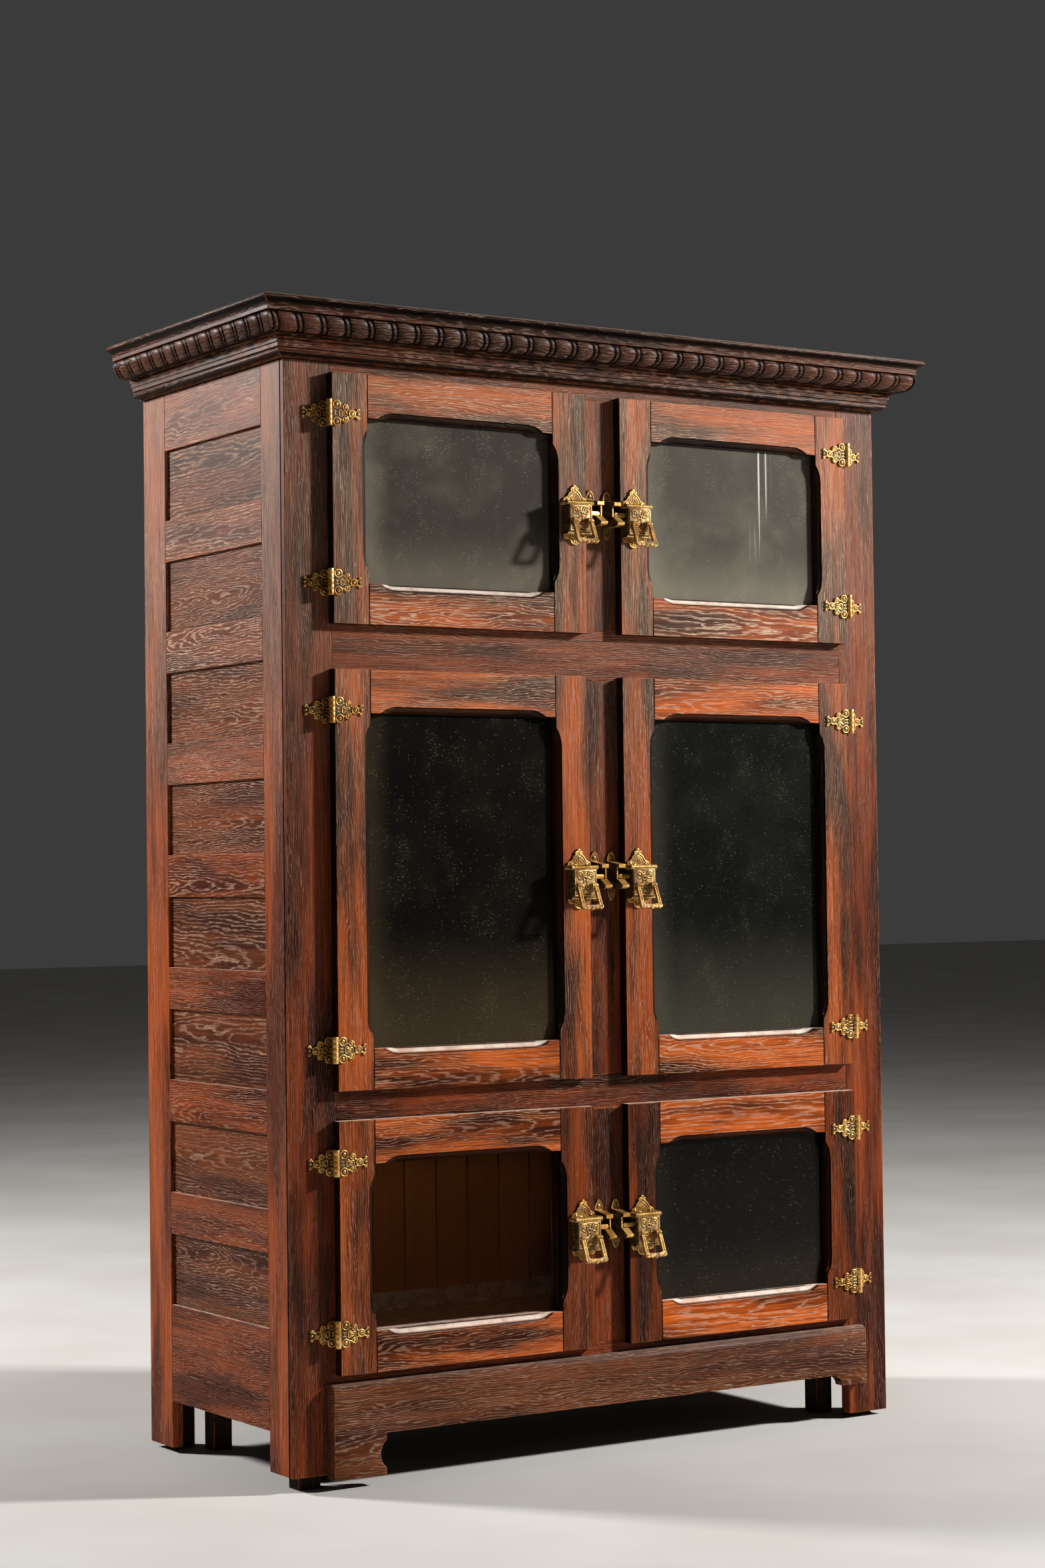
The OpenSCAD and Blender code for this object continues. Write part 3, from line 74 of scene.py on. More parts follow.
def eased_copy(node, ease, wide, careful=False):
    """A copy of a node with its sharp edges eased, and the eased faces marked as worn."""
    bm = bmesh.new()
    bm.from_mesh(frame["nodes"][node].data)
    worn = bm.faces.layers.float.new("worn")
    bmesh.ops.remove_doubles(bm, verts=bm.verts, dist=weld)
    bmesh.ops.dissolve_limit(bm, angle_limit=flat_angle, verts=bm.verts, edges=bm.edges)
    edges = []
    for face in bm.faces:
        face.smooth = False
    for edge in bm.edges:
        if len(edge.link_faces) != 2:
            continue
        if edge.calc_face_angle(0) < round_angle:
            for face in edge.link_faces:
                face.smooth = True
        elif all(face.calc_area() > wide * edge.calc_length() for face in edge.link_faces):
            edges.append(edge)
    made = bmesh.ops.bevel(bm, geom=edges, offset=ease, offset_type="OFFSET", affect="EDGES",
                           segments=2, profile=0.5, material=-1, clamp_overlap=careful)
    for face in bm.faces:
        face[worn] = 0.0
    for face in made["faces"]:
        face.smooth = True
        face[worn] = 1.0
    return bm


def loose_parts(bm):
    """The separate solids of a mesh, each as a list of vertices."""
    seen = set()
    parts = []
    for first in bm.verts:
        if first in seen:
            continue
        seen.add(first)
        part = [first]
        for vert in part:
            for edge in vert.link_edges:
                other = edge.other_vert(vert)
                if other not in seen:
                    seen.add(other)
                    part.append(other)
        parts.append(part)
    return parts


def corners(verts):
    """Lowest and highest corner of some vertices."""
    low = Vector([min(v.co[i] for v in verts) for i in range(3)])
    high = Vector([max(v.co[i] for v in verts) for i in range(3)])
    return low, high


def lay_grain(bm, seed, flat_sawn, uprights=0.5):
    """Gives each board its own run of grain along its length, and a tone of its own."""
    draw = random.Random(seed)
    grain = bm.verts.layers.float_vector.new("grain")
    tone = bm.verts.layers.float.new("tone")
    figure = bm.verts.layers.float.new("figure")
    for part in sorted(loose_parts(bm), key=lambda p: [round(c, 4) for c in corners(p)[0]]):
        low, high = corners(part)
        along, across, through = sorted(range(3), key=lambda i: low[i] - high[i])
        middle = (low + high) / 2
        run = draw.choice((-1, 1))
        heart = draw.uniform(-0.3, 0.3) * (high[across] - low[across])
        deep = draw.uniform(12, 26) * MM
        upright = along == 2
        rift = upright or draw.random() > flat_sawn
        if rift:
            heart += draw.choice((-1, 1)) * draw.uniform(90, 160) * MM
        shade = (draw.random() + (uprights if upright else 1 - uprights)) / 2
        for vert in part:
            at = vert.co - middle
            vert[grain] = (run * at[along], at[across] - heart, at[through] + deep)
            vert[tone] = shade
            vert[figure] = (0.5 if upright else 0.75) if rift else 1.0


def stand_in(bm, name, material, node, body):
    """Turns a mesh into a piece that stands for a node, or adds to the part where none is given."""
    mesh = bpy.data.meshes.new(name)
    bm.to_mesh(mesh)
    bm.free()
    mesh.materials.append(material)
    piece = bpy.data.objects.new(name, mesh)
    bpy.context.scene.collection.objects.link(piece)
    if node:
        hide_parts(node)
    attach(piece, body)
    return piece


def wooden(node, material, body, ease=1.2 * MM, wide=4 * MM, flat_sawn=0.5, dark=None, top_pale=0.3,
           uprights=0.5, seams=False):
    """Dresses a wooden node: eased edges that are worn, or dark in seams, grain, top faces marked pale as
    settled dust and painted light, undersides marked dark as painted shade, and the faces that dark picks
    marked darkest.
    """
    bm = eased_copy(node, ease, wide)
    lie = bm.faces.layers.float.new("lie")
    worn = bm.faces.layers.float["worn"]
    bm.normal_update()
    for face in bm.faces:
        # Top faces are marked pale, as dust and painted light; undersides dark, as painted shade.
        tilt = face.normal.z
        face[lie] = tilt * top_pale if tilt > 0 else tilt
        if dark and dark(face.calc_center_median(), face.normal):
            face[lie] = -1.0
        elif face[worn] and seams:
            face[worn], face[lie] = 0.0, -1.0
        elif face[worn]:
            face[lie] = 0.0
    lay_grain(bm, node, flat_sawn, uprights)
    return stand_in(bm, node + "_wood", material, node, body)


class Sheet:
    """A node tree with short calls for adding and joining nodes."""

    def __init__(self, tree):
        self.tree = tree

    def add(self, kind, values=None, **settings):
        """A new node, with its settings and the values or links of its inputs."""
        node = self.tree.nodes.new(kind)
        for key, value in settings.items():
            setattr(node, key, value)
        for key, value in (values or {}).items():
            self.put(node.inputs[key], value)
        return node

    def put(self, socket, value):
        if isinstance(value, bpy.types.NodeSocket):
            self.tree.links.new(value, socket)
        else:
            socket.default_value = value

    def math(self, operation, a, b=0.0, clamp=False):
        return self.add("ShaderNodeMath", {0: a, 1: b}, operation=operation, use_clamp=clamp).outputs[0]

    def ramp(self, value, low, high, to_low=0.0, to_high=1.0):
        """A soft step from one value to another between low and high."""
        return self.add("ShaderNodeMapRange", {"Value": value, "From Min": low, "From Max": high,
                                               "To Min": to_low, "To Max": to_high},
                        interpolation_type="SMOOTHSTEP").outputs["Result"]

    def mix(self, share, a, b, blend="MIX"):
        node = self.add("ShaderNodeMix", data_type="RGBA", blend_type=blend)
        for socket, value in ((node.inputs[0], share), (node.inputs[6], a), (node.inputs[7], b)):
            self.put(socket, value)
        return node.outputs[2]

    def noise(self, vector, scale, detail=2.0, rough=0.5):
        """Noise on a vector that is first stretched by three scales."""
        stretched = self.add("ShaderNodeVectorMath", {0: vector, 1: scale}, operation="MULTIPLY")
        return self.add("ShaderNodeTexNoise", {"Vector": stretched.outputs[0], "Scale": 1.0,
                                               "Detail": detail, "Roughness": rough})


def rgb(red, green, blue):
    """A colour given as it shows on a screen, from 0 to 255, made linear."""
    line = [c / 255 for c in (red, green, blue)]
    return tuple(c / 12.92 if c < 0.04045 else ((c + 0.055) / 1.055) ** 2.4 for c in line) + (1.0,)


def group_of(name, inputs, outputs):
    """An empty shader group with its sockets, as (group, sheet, inputs, output node)."""
    group = bpy.data.node_groups.new(name, "ShaderNodeTree")
    for direction, sockets in (("INPUT", inputs), ("OUTPUT", outputs)):
        for label, kind in sockets:
            group.interface.new_socket(name=label, in_out=direction, socket_type="NodeSocket" + kind)
    sheet = Sheet(group)
    return group, sheet, sheet.add("NodeGroupInput").outputs, sheet.add("NodeGroupOutput").inputs


oak_grain, g, takes, gives = group_of(
    "oak_grain",
    [("Dark", "Color"), ("Warm", "Color"), ("Dust", "Color"), ("Amount", "Float"), ("Ring", "Float")],
    [("Color", "Color"), ("Dusty", "Float"), ("Height", "Float")])
# The place on the board, bent by a slow sway, and the rings of the tree round its heart.
board = g.add("ShaderNodeAttribute", attribute_name="grain").outputs["Vector"]
shade = g.add("ShaderNodeAttribute", attribute_name="tone").outputs["Fac"]
own = g.add("ShaderNodeVectorMath", {0: (37.0, 53.0, 71.0)}, operation="SCALE")
g.put(own.inputs["Scale"], shade)
shifted = g.add("ShaderNodeVectorMath", {0: board, 1: own.outputs[0]}, operation="ADD").outputs[0]
sway = g.add("ShaderNodeVectorMath", {0: g.noise(shifted, (4.0, 13.0, 13.0), 3.0).outputs["Color"],
                                      1: (0.5, 0.5, 0.5)}, operation="SUBTRACT").outputs[0]
sway = g.add("ShaderNodeVectorMath", {0: sway, 1: (0.0, 0.034, 0.026)}, operation="MULTIPLY").outputs[0]
bent = g.add("ShaderNodeVectorMath", {0: board, 1: sway}, operation="ADD").outputs[0]
bent = g.add("ShaderNodeSeparateXYZ", {0: bent}).outputs
depth = g.math("ADD", bent[2], g.math("MULTIPLY", bent[0], 0.06))
radius = g.math("SQRT", g.math("ADD", g.math("MULTIPLY", bent[1], bent[1]),
                               g.math("MULTIPLY", depth, depth)))
wobble = g.math("SUBTRACT", g.noise(shifted, (13.0, 50.0, 50.0), 2.0).outputs["Fac"], 0.5)
radius = g.math("ADD", radius, g.math("MULTIPLY", wobble, 0.014))
figure = g.add("ShaderNodeAttribute", attribute_name="figure").outputs["Fac"]
spread = g.ramp(g.math("FRACT", g.math("MULTIPLY", shade, 7.3)), 0.3, 0.9, 0.9, 1.6)
pitch = g.math("MULTIPLY", takes["Ring"], g.ramp(figure, 0.8, 1.0, 0.75, spread))
ragged = g.noise(shifted, (26.0, 420.0, 420.0), 2.0, 0.6).outputs["Fac"]
ring = g.math("ADD", g.math("DIVIDE", radius, pitch),
              g.math("MULTIPLY", g.math("SUBTRACT", ragged, 0.5), 1.3))
ring = g.math("FRACT", ring)
# Early wood at the start of each ring, with its pores, and fine fibres all over.
early = g.math("MULTIPLY", g.ramp(ring, 0.0, 0.08), g.ramp(ring, 0.24, 0.4, 1.0, 0.0))
faded = g.noise(shifted, (3.0, 16.0, 16.0)).outputs["Fac"]
early = g.math("MULTIPLY", early, g.ramp(faded, 0.36, 0.6, 0.45, 1.0))
pores = g.ramp(g.noise(shifted, (16.0, 900.0, 900.0), 2.0, 0.6).outputs["Fac"], 0.44, 0.64)
fibre = g.noise(shifted, (6.0, 280.0, 280.0), 4.0, 0.65).outputs["Fac"]
# The stain: patchy, streaked by the fibres, and lighter or darker from board to board.
patch = g.noise(shifted, (2.2, 16.0, 16.0), 3.0, 0.6).outputs["Fac"]
stain = g.mix(g.ramp(patch, 0.37, 0.63), takes["Dark"], takes["Warm"])
streaks = g.mix(g.ramp(fibre, 0.3, 0.7), (0.5, 0.42, 0.36, 1), (1.4, 1.38, 1.36, 1))
stain = g.mix(1.0, stain, streaks, "MULTIPLY")
share = g.math("DIVIDE", g.math("ADD", shade, 0.5), 1.5)
board_tone = g.mix(share, (0.28, 0.23, 0.22, 1), (1.25, 1.22, 1.18, 1))
stain = g.mix(1.0, stain, board_tone, "MULTIPLY")
stain = g.mix(g.ramp(takes["Amount"], 0.0, 1.2, 0.0, 0.3), stain, rgb(40, 24, 16))
# The dust, which lies in the early wood and as a thin film on the rest.
bands = g.math("MULTIPLY", early, g.math("ADD", g.math("MULTIPLY", pores, 0.45), 0.5))
bands = g.math("MULTIPLY", bands, figure)
film = g.math("MULTIPLY", takes["Amount"], g.math("ADD", g.math("MULTIPLY", pores, 0.26), 0.1))
film = g.math("MULTIPLY", film, g.ramp(figure, 0.5, 1.0, 1.0, 0.6))
dusty = g.math("ADD", bands, film, clamp=True)
pale = g.mix(g.ramp(takes["Amount"], 0.0, 0.9, 0.4, 0.0), takes["Dust"], takes["Warm"])
pale = g.mix(g.ramp(shade, -0.5, 0.1, 0.55, 0.0), pale, takes["Dark"])
g.put(gives["Color"], g.mix(dusty, stain, pale))
g.put(gives["Dusty"], dusty)
g.put(gives["Height"], g.math("SUBTRACT", 1.0, g.math("MULTIPLY", early, pores)))

bare_oak, dust_and_top_light, shade_and_seam_dirt = rgb(176, 100, 52), rgb(224, 204, 188), rgb(8, 4, 2)
worn_arris, g, takes, gives = group_of("worn_arris", [("Color", "Color")], [("Color", "Color")])
# Eased edges are rubbed bare, and seams are dark with dirt. Undersides, the edges of the doors, the
# corner grooves and the cuts of the carving are painted dark as shade, and top faces are painted
# pale, as settled dust and painted light from above.
place = g.add("ShaderNodeTexCoord").outputs["Object"]
rubbed = g.ramp(g.noise(place, (38.0, 38.0, 38.0), 3.0, 0.6).outputs["Fac"], 0.38, 0.62)
rubbed = g.math("MULTIPLY", g.add("ShaderNodeAttribute", attribute_name="worn").outputs["Fac"], rubbed)
edged = g.mix(g.math("MULTIPLY", rubbed, 0.7), takes["Color"], bare_oak)
lie = g.add("ShaderNodeAttribute", attribute_name="lie").outputs["Fac"]
# Undersides and marked faces are painted dark as shade; seams are dark with dirt.
darkened = g.mix(g.ramp(lie, -0.7, -0.1, 0.92, 0.0), edged, shade_and_seam_dirt)
settled = g.ramp(g.noise(place, (30.0, 30.0, 30.0), 4.0, 0.65).outputs["Fac"], 0.3, 0.6, 0.55, 1.0)
# Top faces are painted pale, as settled dust and painted light from above.
g.put(gives["Color"], g.mix(g.math("MULTIPLY", g.ramp(lie, 0.1, 0.5), settled), darkened, dust_and_top_light))

dust_from, dust_to = 0.8, 1.8


def oak(name, dark, warm, dust, low_dust, high_dust, ring=4.6 * MM, rough=0.46):
    """Stained oak with dusty pores, dustier towards the top of the case."""
    material = bpy.data.materials.new(name)
    material.use_nodes = True
    s = Sheet(material.node_tree)
    skin = s.tree.nodes["Principled BSDF"]
    height = s.add("ShaderNodeSeparateXYZ", {0: s.add("ShaderNodeTexCoord").outputs["Object"]}).outputs[2]
    wood = s.add("ShaderNodeGroup", node_tree=oak_grain)
    for key, value in (("Dark", dark), ("Warm", warm), ("Dust", dust), ("Ring", ring),
                       ("Amount", s.ramp(height, dust_from, dust_to, low_dust, high_dust))):
        s.put(wood.inputs[key], value)
    edge = s.add("ShaderNodeGroup", {"Color": wood.outputs["Color"]}, node_tree=worn_arris)
    s.put(skin.inputs["Base Color"], edge.outputs["Color"])
    s.put(skin.inputs["Roughness"], s.ramp(wood.outputs["Dusty"], 0.0, 0.8, rough - 0.06, rough + 0.2))
    bump = s.add("ShaderNodeBump", {"Strength": 0.35, "Distance": 0.4 * MM,
                                    "Height": wood.outputs["Height"]})
    s.put(skin.inputs["Normal"], bump.outputs["Normal"])
    skin.inputs["Specular IOR Level"].default_value = 0.05
    return material


case_oak = oak("case_oak", rgb(70, 22, 6), rgb(146, 68, 26), rgb(204, 164, 140), 0.05, 1.1)
corner_seam, seam_half, seam_reach = -228.5 * MM, 2 * MM, 661 * MM
# The faces in the corner groove are painted dark, as shade in it.
for side in ("left", "right"):
    wooden(side + "_side_frame", case_oak, "cabinet", flat_sawn=0.6, top_pale=0.5, uprights=0.9,
           dark=lambda at, facing: abs(at.y - corner_seam) < seam_half and abs(at.x) > seam_reach)

# Side panels: eight thin flat-sawn boards a side, sunk in the grooves of the frames.
# Broad arches of dusty early wood run across each of them.

panel_oak = oak("panel_oak", rgb(62, 25, 10), rgb(110, 56, 27), rgb(188, 152, 128), 0.15, 0.6,
                ring=4.2 * MM)
wooden("side_panels", panel_oak, "cabinet", flat_sawn=1.0)

# Face frame: two stiles, four rails and the mullion lengths behind the overlay doors.
# Its colour is painted darker than the doors', as shade from their edges and the hardware.

frame_oak = oak("frame_oak", rgb(46, 14, 5), rgb(124, 54, 20), rgb(160, 134, 114), 0.08, 0.8)
wooden("face_frame", frame_oak, "cabinet", flat_sawn=0.35)

# Rough boards: sawn softwood nailed over the back, the top and the bottom of the case.
# They were never stained, and dirt has gathered in the seams between them.

rough_boards = oak("rough_boards", rgb(92, 66, 44), rgb(142, 108, 74), rgb(160, 138, 112), 0.5, 0.6,
                   ring=7 * MM, rough=0.7)
for node in ("back_boards", "top_boards", "bottom_boards"):
    wooden(node, rough_boards, "cabinet", flat_sawn=0.7, seams=True)

# Insulation: plant fibre, packed loose between the outer case and the lining.
# It keeps the cold in, and no side of the closed case shows it.


def plain(name, metallic=0.0, rough=0.5, specular=0.5):
    """A material with its sheet and its shader."""
    material = bpy.data.materials.new(name)
    material.use_nodes = True
    s = Sheet(material.node_tree)
    skin = s.tree.nodes["Principled BSDF"]
    skin.inputs["Metallic"].default_value = metallic
    skin.inputs["Roughness"].default_value = rough
    skin.inputs["Specular IOR Level"].default_value = specular
    return material, s, skin, s.add("ShaderNodeTexCoord").outputs["Object"]


def paint(node, material):
    """Gives a node that keeps its own shape a better material."""
    piece = frame["nodes"][node]
    piece.data.materials.clear()
    piece.data.materials.append(material)


fibre_pack, s, skin, place = plain("insulation", rough=0.9, specular=0.2)
matted = s.noise(place, (240.0, 240.0, 60.0), 4.0, 0.7).outputs["Fac"]
s.put(skin.inputs["Base Color"], s.mix(s.ramp(matted, 0.35, 0.65), rgb(96, 78, 48), rgb(158, 136, 94)))
bump = s.add("ShaderNodeBump", {"Strength": 0.6, "Distance": 2 * MM, "Height": matted})
s.put(skin.inputs["Normal"], bump.outputs["Normal"])
paint("insulation", fibre_pack)

# Lining: varnished matchboards on the walls, the floor and the ceiling of the chambers.
# Grooves run between them, and the ice deck is made of the same boards.

lining_wood, s, skin, place = plain("lining_wood", rough=0.5, specular=0.05)
tone = s.add("ShaderNodeAttribute", attribute_name="tone").outputs["Fac"]
# Joints between the boards are dark, and faces turned downwards are painted dark as shade.
joint_and_underside_dark = s.ramp(s.add("ShaderNodeAttribute", attribute_name="lie").outputs["Fac"], -0.9, -0.5, 1.0, 0.0)
varnish = s.noise(place, (60.0, 60.0, 5.0), 4.0, 0.6).outputs["Fac"]
stain = s.mix(varnish, rgb(164, 92, 30), rgb(214, 136, 56))
stain = s.mix(1.0, stain, s.mix(tone, (0.75, 0.75, 0.72, 1), (1.05, 1.02, 1, 1)), "MULTIPLY")
s.put(skin.inputs["Base Color"], s.mix(joint_and_underside_dark, stain, rgb(16, 9, 4)))
wooden("inner_lining", lining_wood, "cabinet", ease=0.6 * MM, flat_sawn=0.0,
       dark=lambda at, facing: 0.3 < abs(facing.x) < 0.9)
wooden("ice_deck", lining_wood, "cabinet", flat_sawn=0.6)

# Zinc: a folded sheet with an upstand on the chamber floor, and the pan under the ice.
# Old zinc is dull and mottled, with a pale bloom.

zinc, s, skin, place = plain("zinc", metallic=0.1, rough=0.5)
bloom = s.noise(place, (46.0, 46.0, 46.0), 4.0, 0.65).outputs["Fac"]
s.put(skin.inputs["Base Color"], s.mix(s.ramp(bloom, 0.36, 0.64), rgb(178, 184, 172), rgb(244, 244, 234)))
s.put(skin.inputs["Roughness"], s.ramp(bloom, 0.3, 0.7, 0.42, 0.7))
for node in ("floor_pan", "ice_pan"):
    paint(node, zinc)

# Ice rack and shelves: slats of bare wood, screwed to bearers and scrubbed pale.
# The rack keeps the ice out of the melt water, and air falls between the shelf slats.

slat_wood = oak("slat_wood", rgb(112, 82, 50), rgb(160, 124, 82), rgb(176, 150, 114), 0.4, 0.4,
                ring=6 * MM, rough=0.6)
for node in ("ice_rack", "shelves"):
    wooden(node, slat_wood, "cabinet", flat_sawn=0.4)

# Drain pipe: drawn lead, soldered to the ice pan and run down through the floor.
# It has gone dull grey.

lead, s, skin, place = plain("lead_pipe", metallic=0.8, rough=0.55)
dull = s.noise(place, (60.0, 60.0, 20.0), 3.0, 0.6).outputs["Fac"]
s.put(skin.inputs["Base Color"], s.mix(s.ramp(dull, 0.35, 0.65), rgb(84, 86, 88), rgb(136, 138, 140)))
paint("drain_pipe", lead)

# Cornice: three mitred lengths of built-up moulding, nailed round the top of the case.
# Its round is carved with broad lobes, set apart by pairs of curved gouge cuts.

cornice_oak = oak("cornice_oak", rgb(36, 14, 6), rgb(80, 38, 18), rgb(150, 122, 106), 0.4, 0.4, rough=0.42)
wooden("cornice", cornice_oak, "cabinet", ease=0.8 * MM, wide=2.5 * MM, flat_sawn=0.2)

case_half, case_front, case_back, case_top = 665 * MM, -242.5 * MM, 319.5 * MM, 1986 * MM
round_out, round_up, round_r = 32 * MM, 65 * MM, 27.5 * MM
carved_back = case_back - 1 * MM
lobe_pitch, bead_wide, lobe_rise, lobe_bow, least_rise = 48 * MM, 10 * MM, 5 * MM, 9 * MM, 0.1 * MM
grid_step, carved_thick = 1.7 * MM, 2 * MM
arc_low, arc_high = math.radians(-68), math.radians(12)


def carved_rise(run, across):
    """How far the carving stands out, at a distance along it and from -1 to 1 across it."""
    bowed = (run - lobe_bow * (1 - across * across)) % lobe_pitch
    if bowed < bead_wide:
        rise = 0.7 * math.sin(math.pi * bowed / bead_wide) ** 0.5
    else:
        rise = math.sin(math.pi * (bowed - bead_wide) / (lobe_pitch - bead_wide)) ** 0.4
    return max(lobe_rise * rise * (1 - across ** 8), least_rise)


def carved_length(name, long, place_at):
    """One carved length: a fine grid bent round the moulding, then given a back."""
    bm = bmesh.new()
    bmesh.ops.create_grid(bm, x_segments=int(long / grid_step), y_segments=16, size=1.0)
    for vert in bm.verts:
        lean = arc_low + (arc_high - arc_low) * (vert.co.y + 1) / 2
        radius = round_r + carved_rise((vert.co.x + 1) * long / 2, vert.co.y)
        out = round_out + radius * math.cos(lean)
        vert.co = place_at(vert.co.x, out, case_top + round_up + radius * math.sin(lean))
    bmesh.ops.recalc_face_normals(bm, faces=bm.faces)
    if min(bm.faces, key=lambda face: face.calc_center_median().z).normal.z > 0:
        bmesh.ops.reverse_faces(bm, faces=bm.faces)
    bmesh.ops.solidify(bm, geom=bm.faces, thickness=carved_thick)
    for face in bm.faces:
        face.smooth = True
    bm.faces.layers.float.new("worn")
    lie = bm.faces.layers.float.new("lie")
    # Faces low between the lobes are painted dark, as shade in the cuts.
    for face in bm.faces:
        at = face.calc_center_median()
        out = max(abs(at.x) - case_half, case_front - at.y) - round_out
        rise = math.hypot(out, at.z - case_top - round_up) - round_r
        face[lie] = -1.0 if rise < 0.55 * lobe_rise else 0.0
    lay_grain(bm, name, 0.0)
    return stand_in(bm, name, cornice_oak, None, "cabinet")


carved_length("cornice_carving_front", 2 * (case_half + round_out + round_r),
              lambda share, out, up: (share * (case_half + out), case_front - out, up))
for name, side in (("left", -1), ("right", 1)):
    carved_length(
        "cornice_carving_" + name, carved_back - case_front + round_out + round_r,
        lambda share, out, up: (side * (case_half + out),
                                carved_back + (case_front - out - carved_back) * (share + 1) / 2, up))

# Base: a skirt board with an ovolo along its top and bracket feet, one of them broken short.
# Behind it stand dark square legs, with knee brackets and corner posts.

skirt_oak = oak("skirt_oak", rgb(54, 20, 8), rgb(106, 54, 25), rgb(170, 138, 116), 0.4, 0.4, ring=4.2 * MM)
wooden("base_skirt", skirt_oak, "cabinet", flat_sawn=1.0, top_pale=0.2)
dark_legs = oak("dark_legs", rgb(26, 20, 16), rgb(56, 42, 32), rgb(84, 72, 62), 0.5, 0.5, rough=0.65)
wooden("support_legs", dark_legs, "cabinet")

# Doors: stiles and rails round a light, with a moulding stopped short of the corners.
# Each has a plug behind it that fills its opening. The doors are the brightest wood.

door_oak = oak("door_oak", rgb(46, 14, 4), rgb(170, 80, 24), rgb(200, 174, 148), 0.08, 0.7)
STILE_TONE = {"upper": 0.4, "middle": 0.0, "lower": -0.9}
DOORS = {row + "_" + side: hand for row in STILE_TONE for side, hand in (("left", -1), ("right", 1))}
edge_front, edge_back = -261.7 * MM, -245 * MM


def door_edge_in_shade(at, facing):
    """True for the upright edges of a door and the undersides between its face and its back, which are
    painted dark as shade.
    """
    return abs(facing.x) > 0.3 or (facing.z < 0.1 and edge_front < at.y < edge_back)


# The upright edges and undersides of the doors are painted dark as shade, and their top faces pale, as
# dust and painted light from above.
for door in DOORS:
    wooden(door + "_door", door_oak, door + "_door_leaf", flat_sawn=0.75, dark=door_edge_in_shade,
           top_pale=1.0, uprights=STILE_TONE[door.split("_")[0]])

# Panes: two sheets of old glass in each door, with dust between them.
# The upper ones are the cloudiest, and the lower left one is almost clear. The film is also painted
# shade of the dark chambers behind, darkest in the middle and lower right panes. For each: deep and
# pale colour of the film, how much it covers, how much has run down in drips, and specks.

FILMS = {"upper_left": (rgb(64, 59, 53), rgb(112, 104, 90), 0.8, 0.0, 0.9),
         "upper_right": (rgb(78, 74, 65), rgb(126, 120, 104), 0.8, 1.0, 0.7),
         "middle_left": (rgb(13, 12, 9), rgb(66, 55, 38), 0.8, 0.0, 0.5),
         "middle_right": (rgb(17, 18, 15), rgb(68, 65, 54), 0.8, 0.0, 0.5),
         "lower_left": (rgb(66, 29, 5), rgb(74, 38, 12), 0.05, 0.0, 0.0),
         "lower_right": (rgb(9, 7, 5), rgb(38, 30, 20), 0.8, 0.0, 0.5)}
dust_and_shade_film, g, takes, gives = group_of(
    "dust_and_shade_film",
    [("Corner", "Vector"), ("Span", "Vector"), ("Deep", "Color"), ("Pale", "Color"), ("Cover", "Float"),
     ("Drips", "Float"), ("Specks", "Float")],
    [("Color", "Color"), ("Cover", "Float")])
# Paler low down and at the left edge, partly dust and partly painted light, with the top and the
# right darker as painted shadow of the rails and stiles; paler in clouds of dust too, by the place
# inside the pane.
place = g.add("ShaderNodeTexCoord").outputs["Object"]
inside = g.add("ShaderNodeVectorMath", {0: place, 1: takes["Corner"]}, operation="SUBTRACT").outputs[0]
inside = g.add("ShaderNodeVectorMath", {0: inside, 1: takes["Span"]}, operation="DIVIDE").outputs[0]
inside = g.add("ShaderNodeSeparateXYZ", {0: inside}).outputs
cloud = g.noise(place, (7.0, 7.0, 7.0), 5.0, 0.62).outputs["Fac"]
cloudy = g.ramp(takes["Specks"], 0.5, 0.8, 0.12, 0.5)
pale = g.math("ADD", g.ramp(inside[2], 0.0, 0.4, 0.75, 0.0), g.ramp(cloud, 0.42, 0.75, 0.0, cloudy))
# Paler at the left edge, as painted light.
edge_glow = g.ramp(inside[0], 0.0, 0.16, 0.5, 0.0)
# Specks in clusters, fine grains among them, and drips down a strip of the pane.
flat = g.add("ShaderNodeSeparateXYZ", {0: place}).outputs
flat = g.add("ShaderNodeCombineXYZ", {0: flat[0], 1: flat[2], 2: 0.0}).outputs[0]
cluster = g.ramp(g.noise(place, (17.0, 17.0, 11.0), 3.0, 0.6).outputs["Fac"], 0.5, 0.7)
cells = g.add("ShaderNodeTexVoronoi", {"Vector": flat, "Scale": 210.0}, voronoi_dimensions="2D")
chance = g.add("ShaderNodeSeparateColor", {0: cells.outputs["Color"]}).outputs
often = g.math("ADD", chance[0], g.math("MULTIPLY", cluster, 0.25))
dot_edge = g.ramp(chance[1], 0.5, 1.0, 0.16, 0.3)
dots = g.math("MULTIPLY", g.ramp(cells.outputs["Distance"], 0.1, dot_edge, 1.0, 0.0),
              g.ramp(often, 0.84, 1.0, 0.0, takes["Specks"]))
grains = g.ramp(g.noise(place, (330.0, 330.0, 330.0), 3.0, 0.75).outputs["Fac"], 0.5, 0.7)
pale = g.math("ADD", pale, g.math("MULTIPLY", grains, cluster))
streak = g.ramp(g.noise(place, (210.0, 1.0, 2.4), 2.0).outputs["Fac"], 0.6, 0.7)
window = g.math("MULTIPLY", g.ramp(inside[0], 0.58, 0.64), g.ramp(inside[0], 0.7, 0.76, 1.0, 0.0))
window = g.math("MULTIPLY", window, g.ramp(inside[2], 0.2, 0.5))
drips = g.math("MULTIPLY", g.math("MULTIPLY", streak, window), takes["Drips"])
film = g.mix(g.math("ADD", pale, edge_glow, clamp=True), takes["Deep"], takes["Pale"])
film = g.mix(g.math("MULTIPLY", dots, 0.45), film, rgb(190, 180, 150))
g.put(gives["Color"], g.mix(g.math("MULTIPLY", drips, 0.8), film, rgb(206, 202, 190)))
covered = g.math("MAXIMUM", takes["Cover"], g.math("MULTIPLY", dots, 0.85))
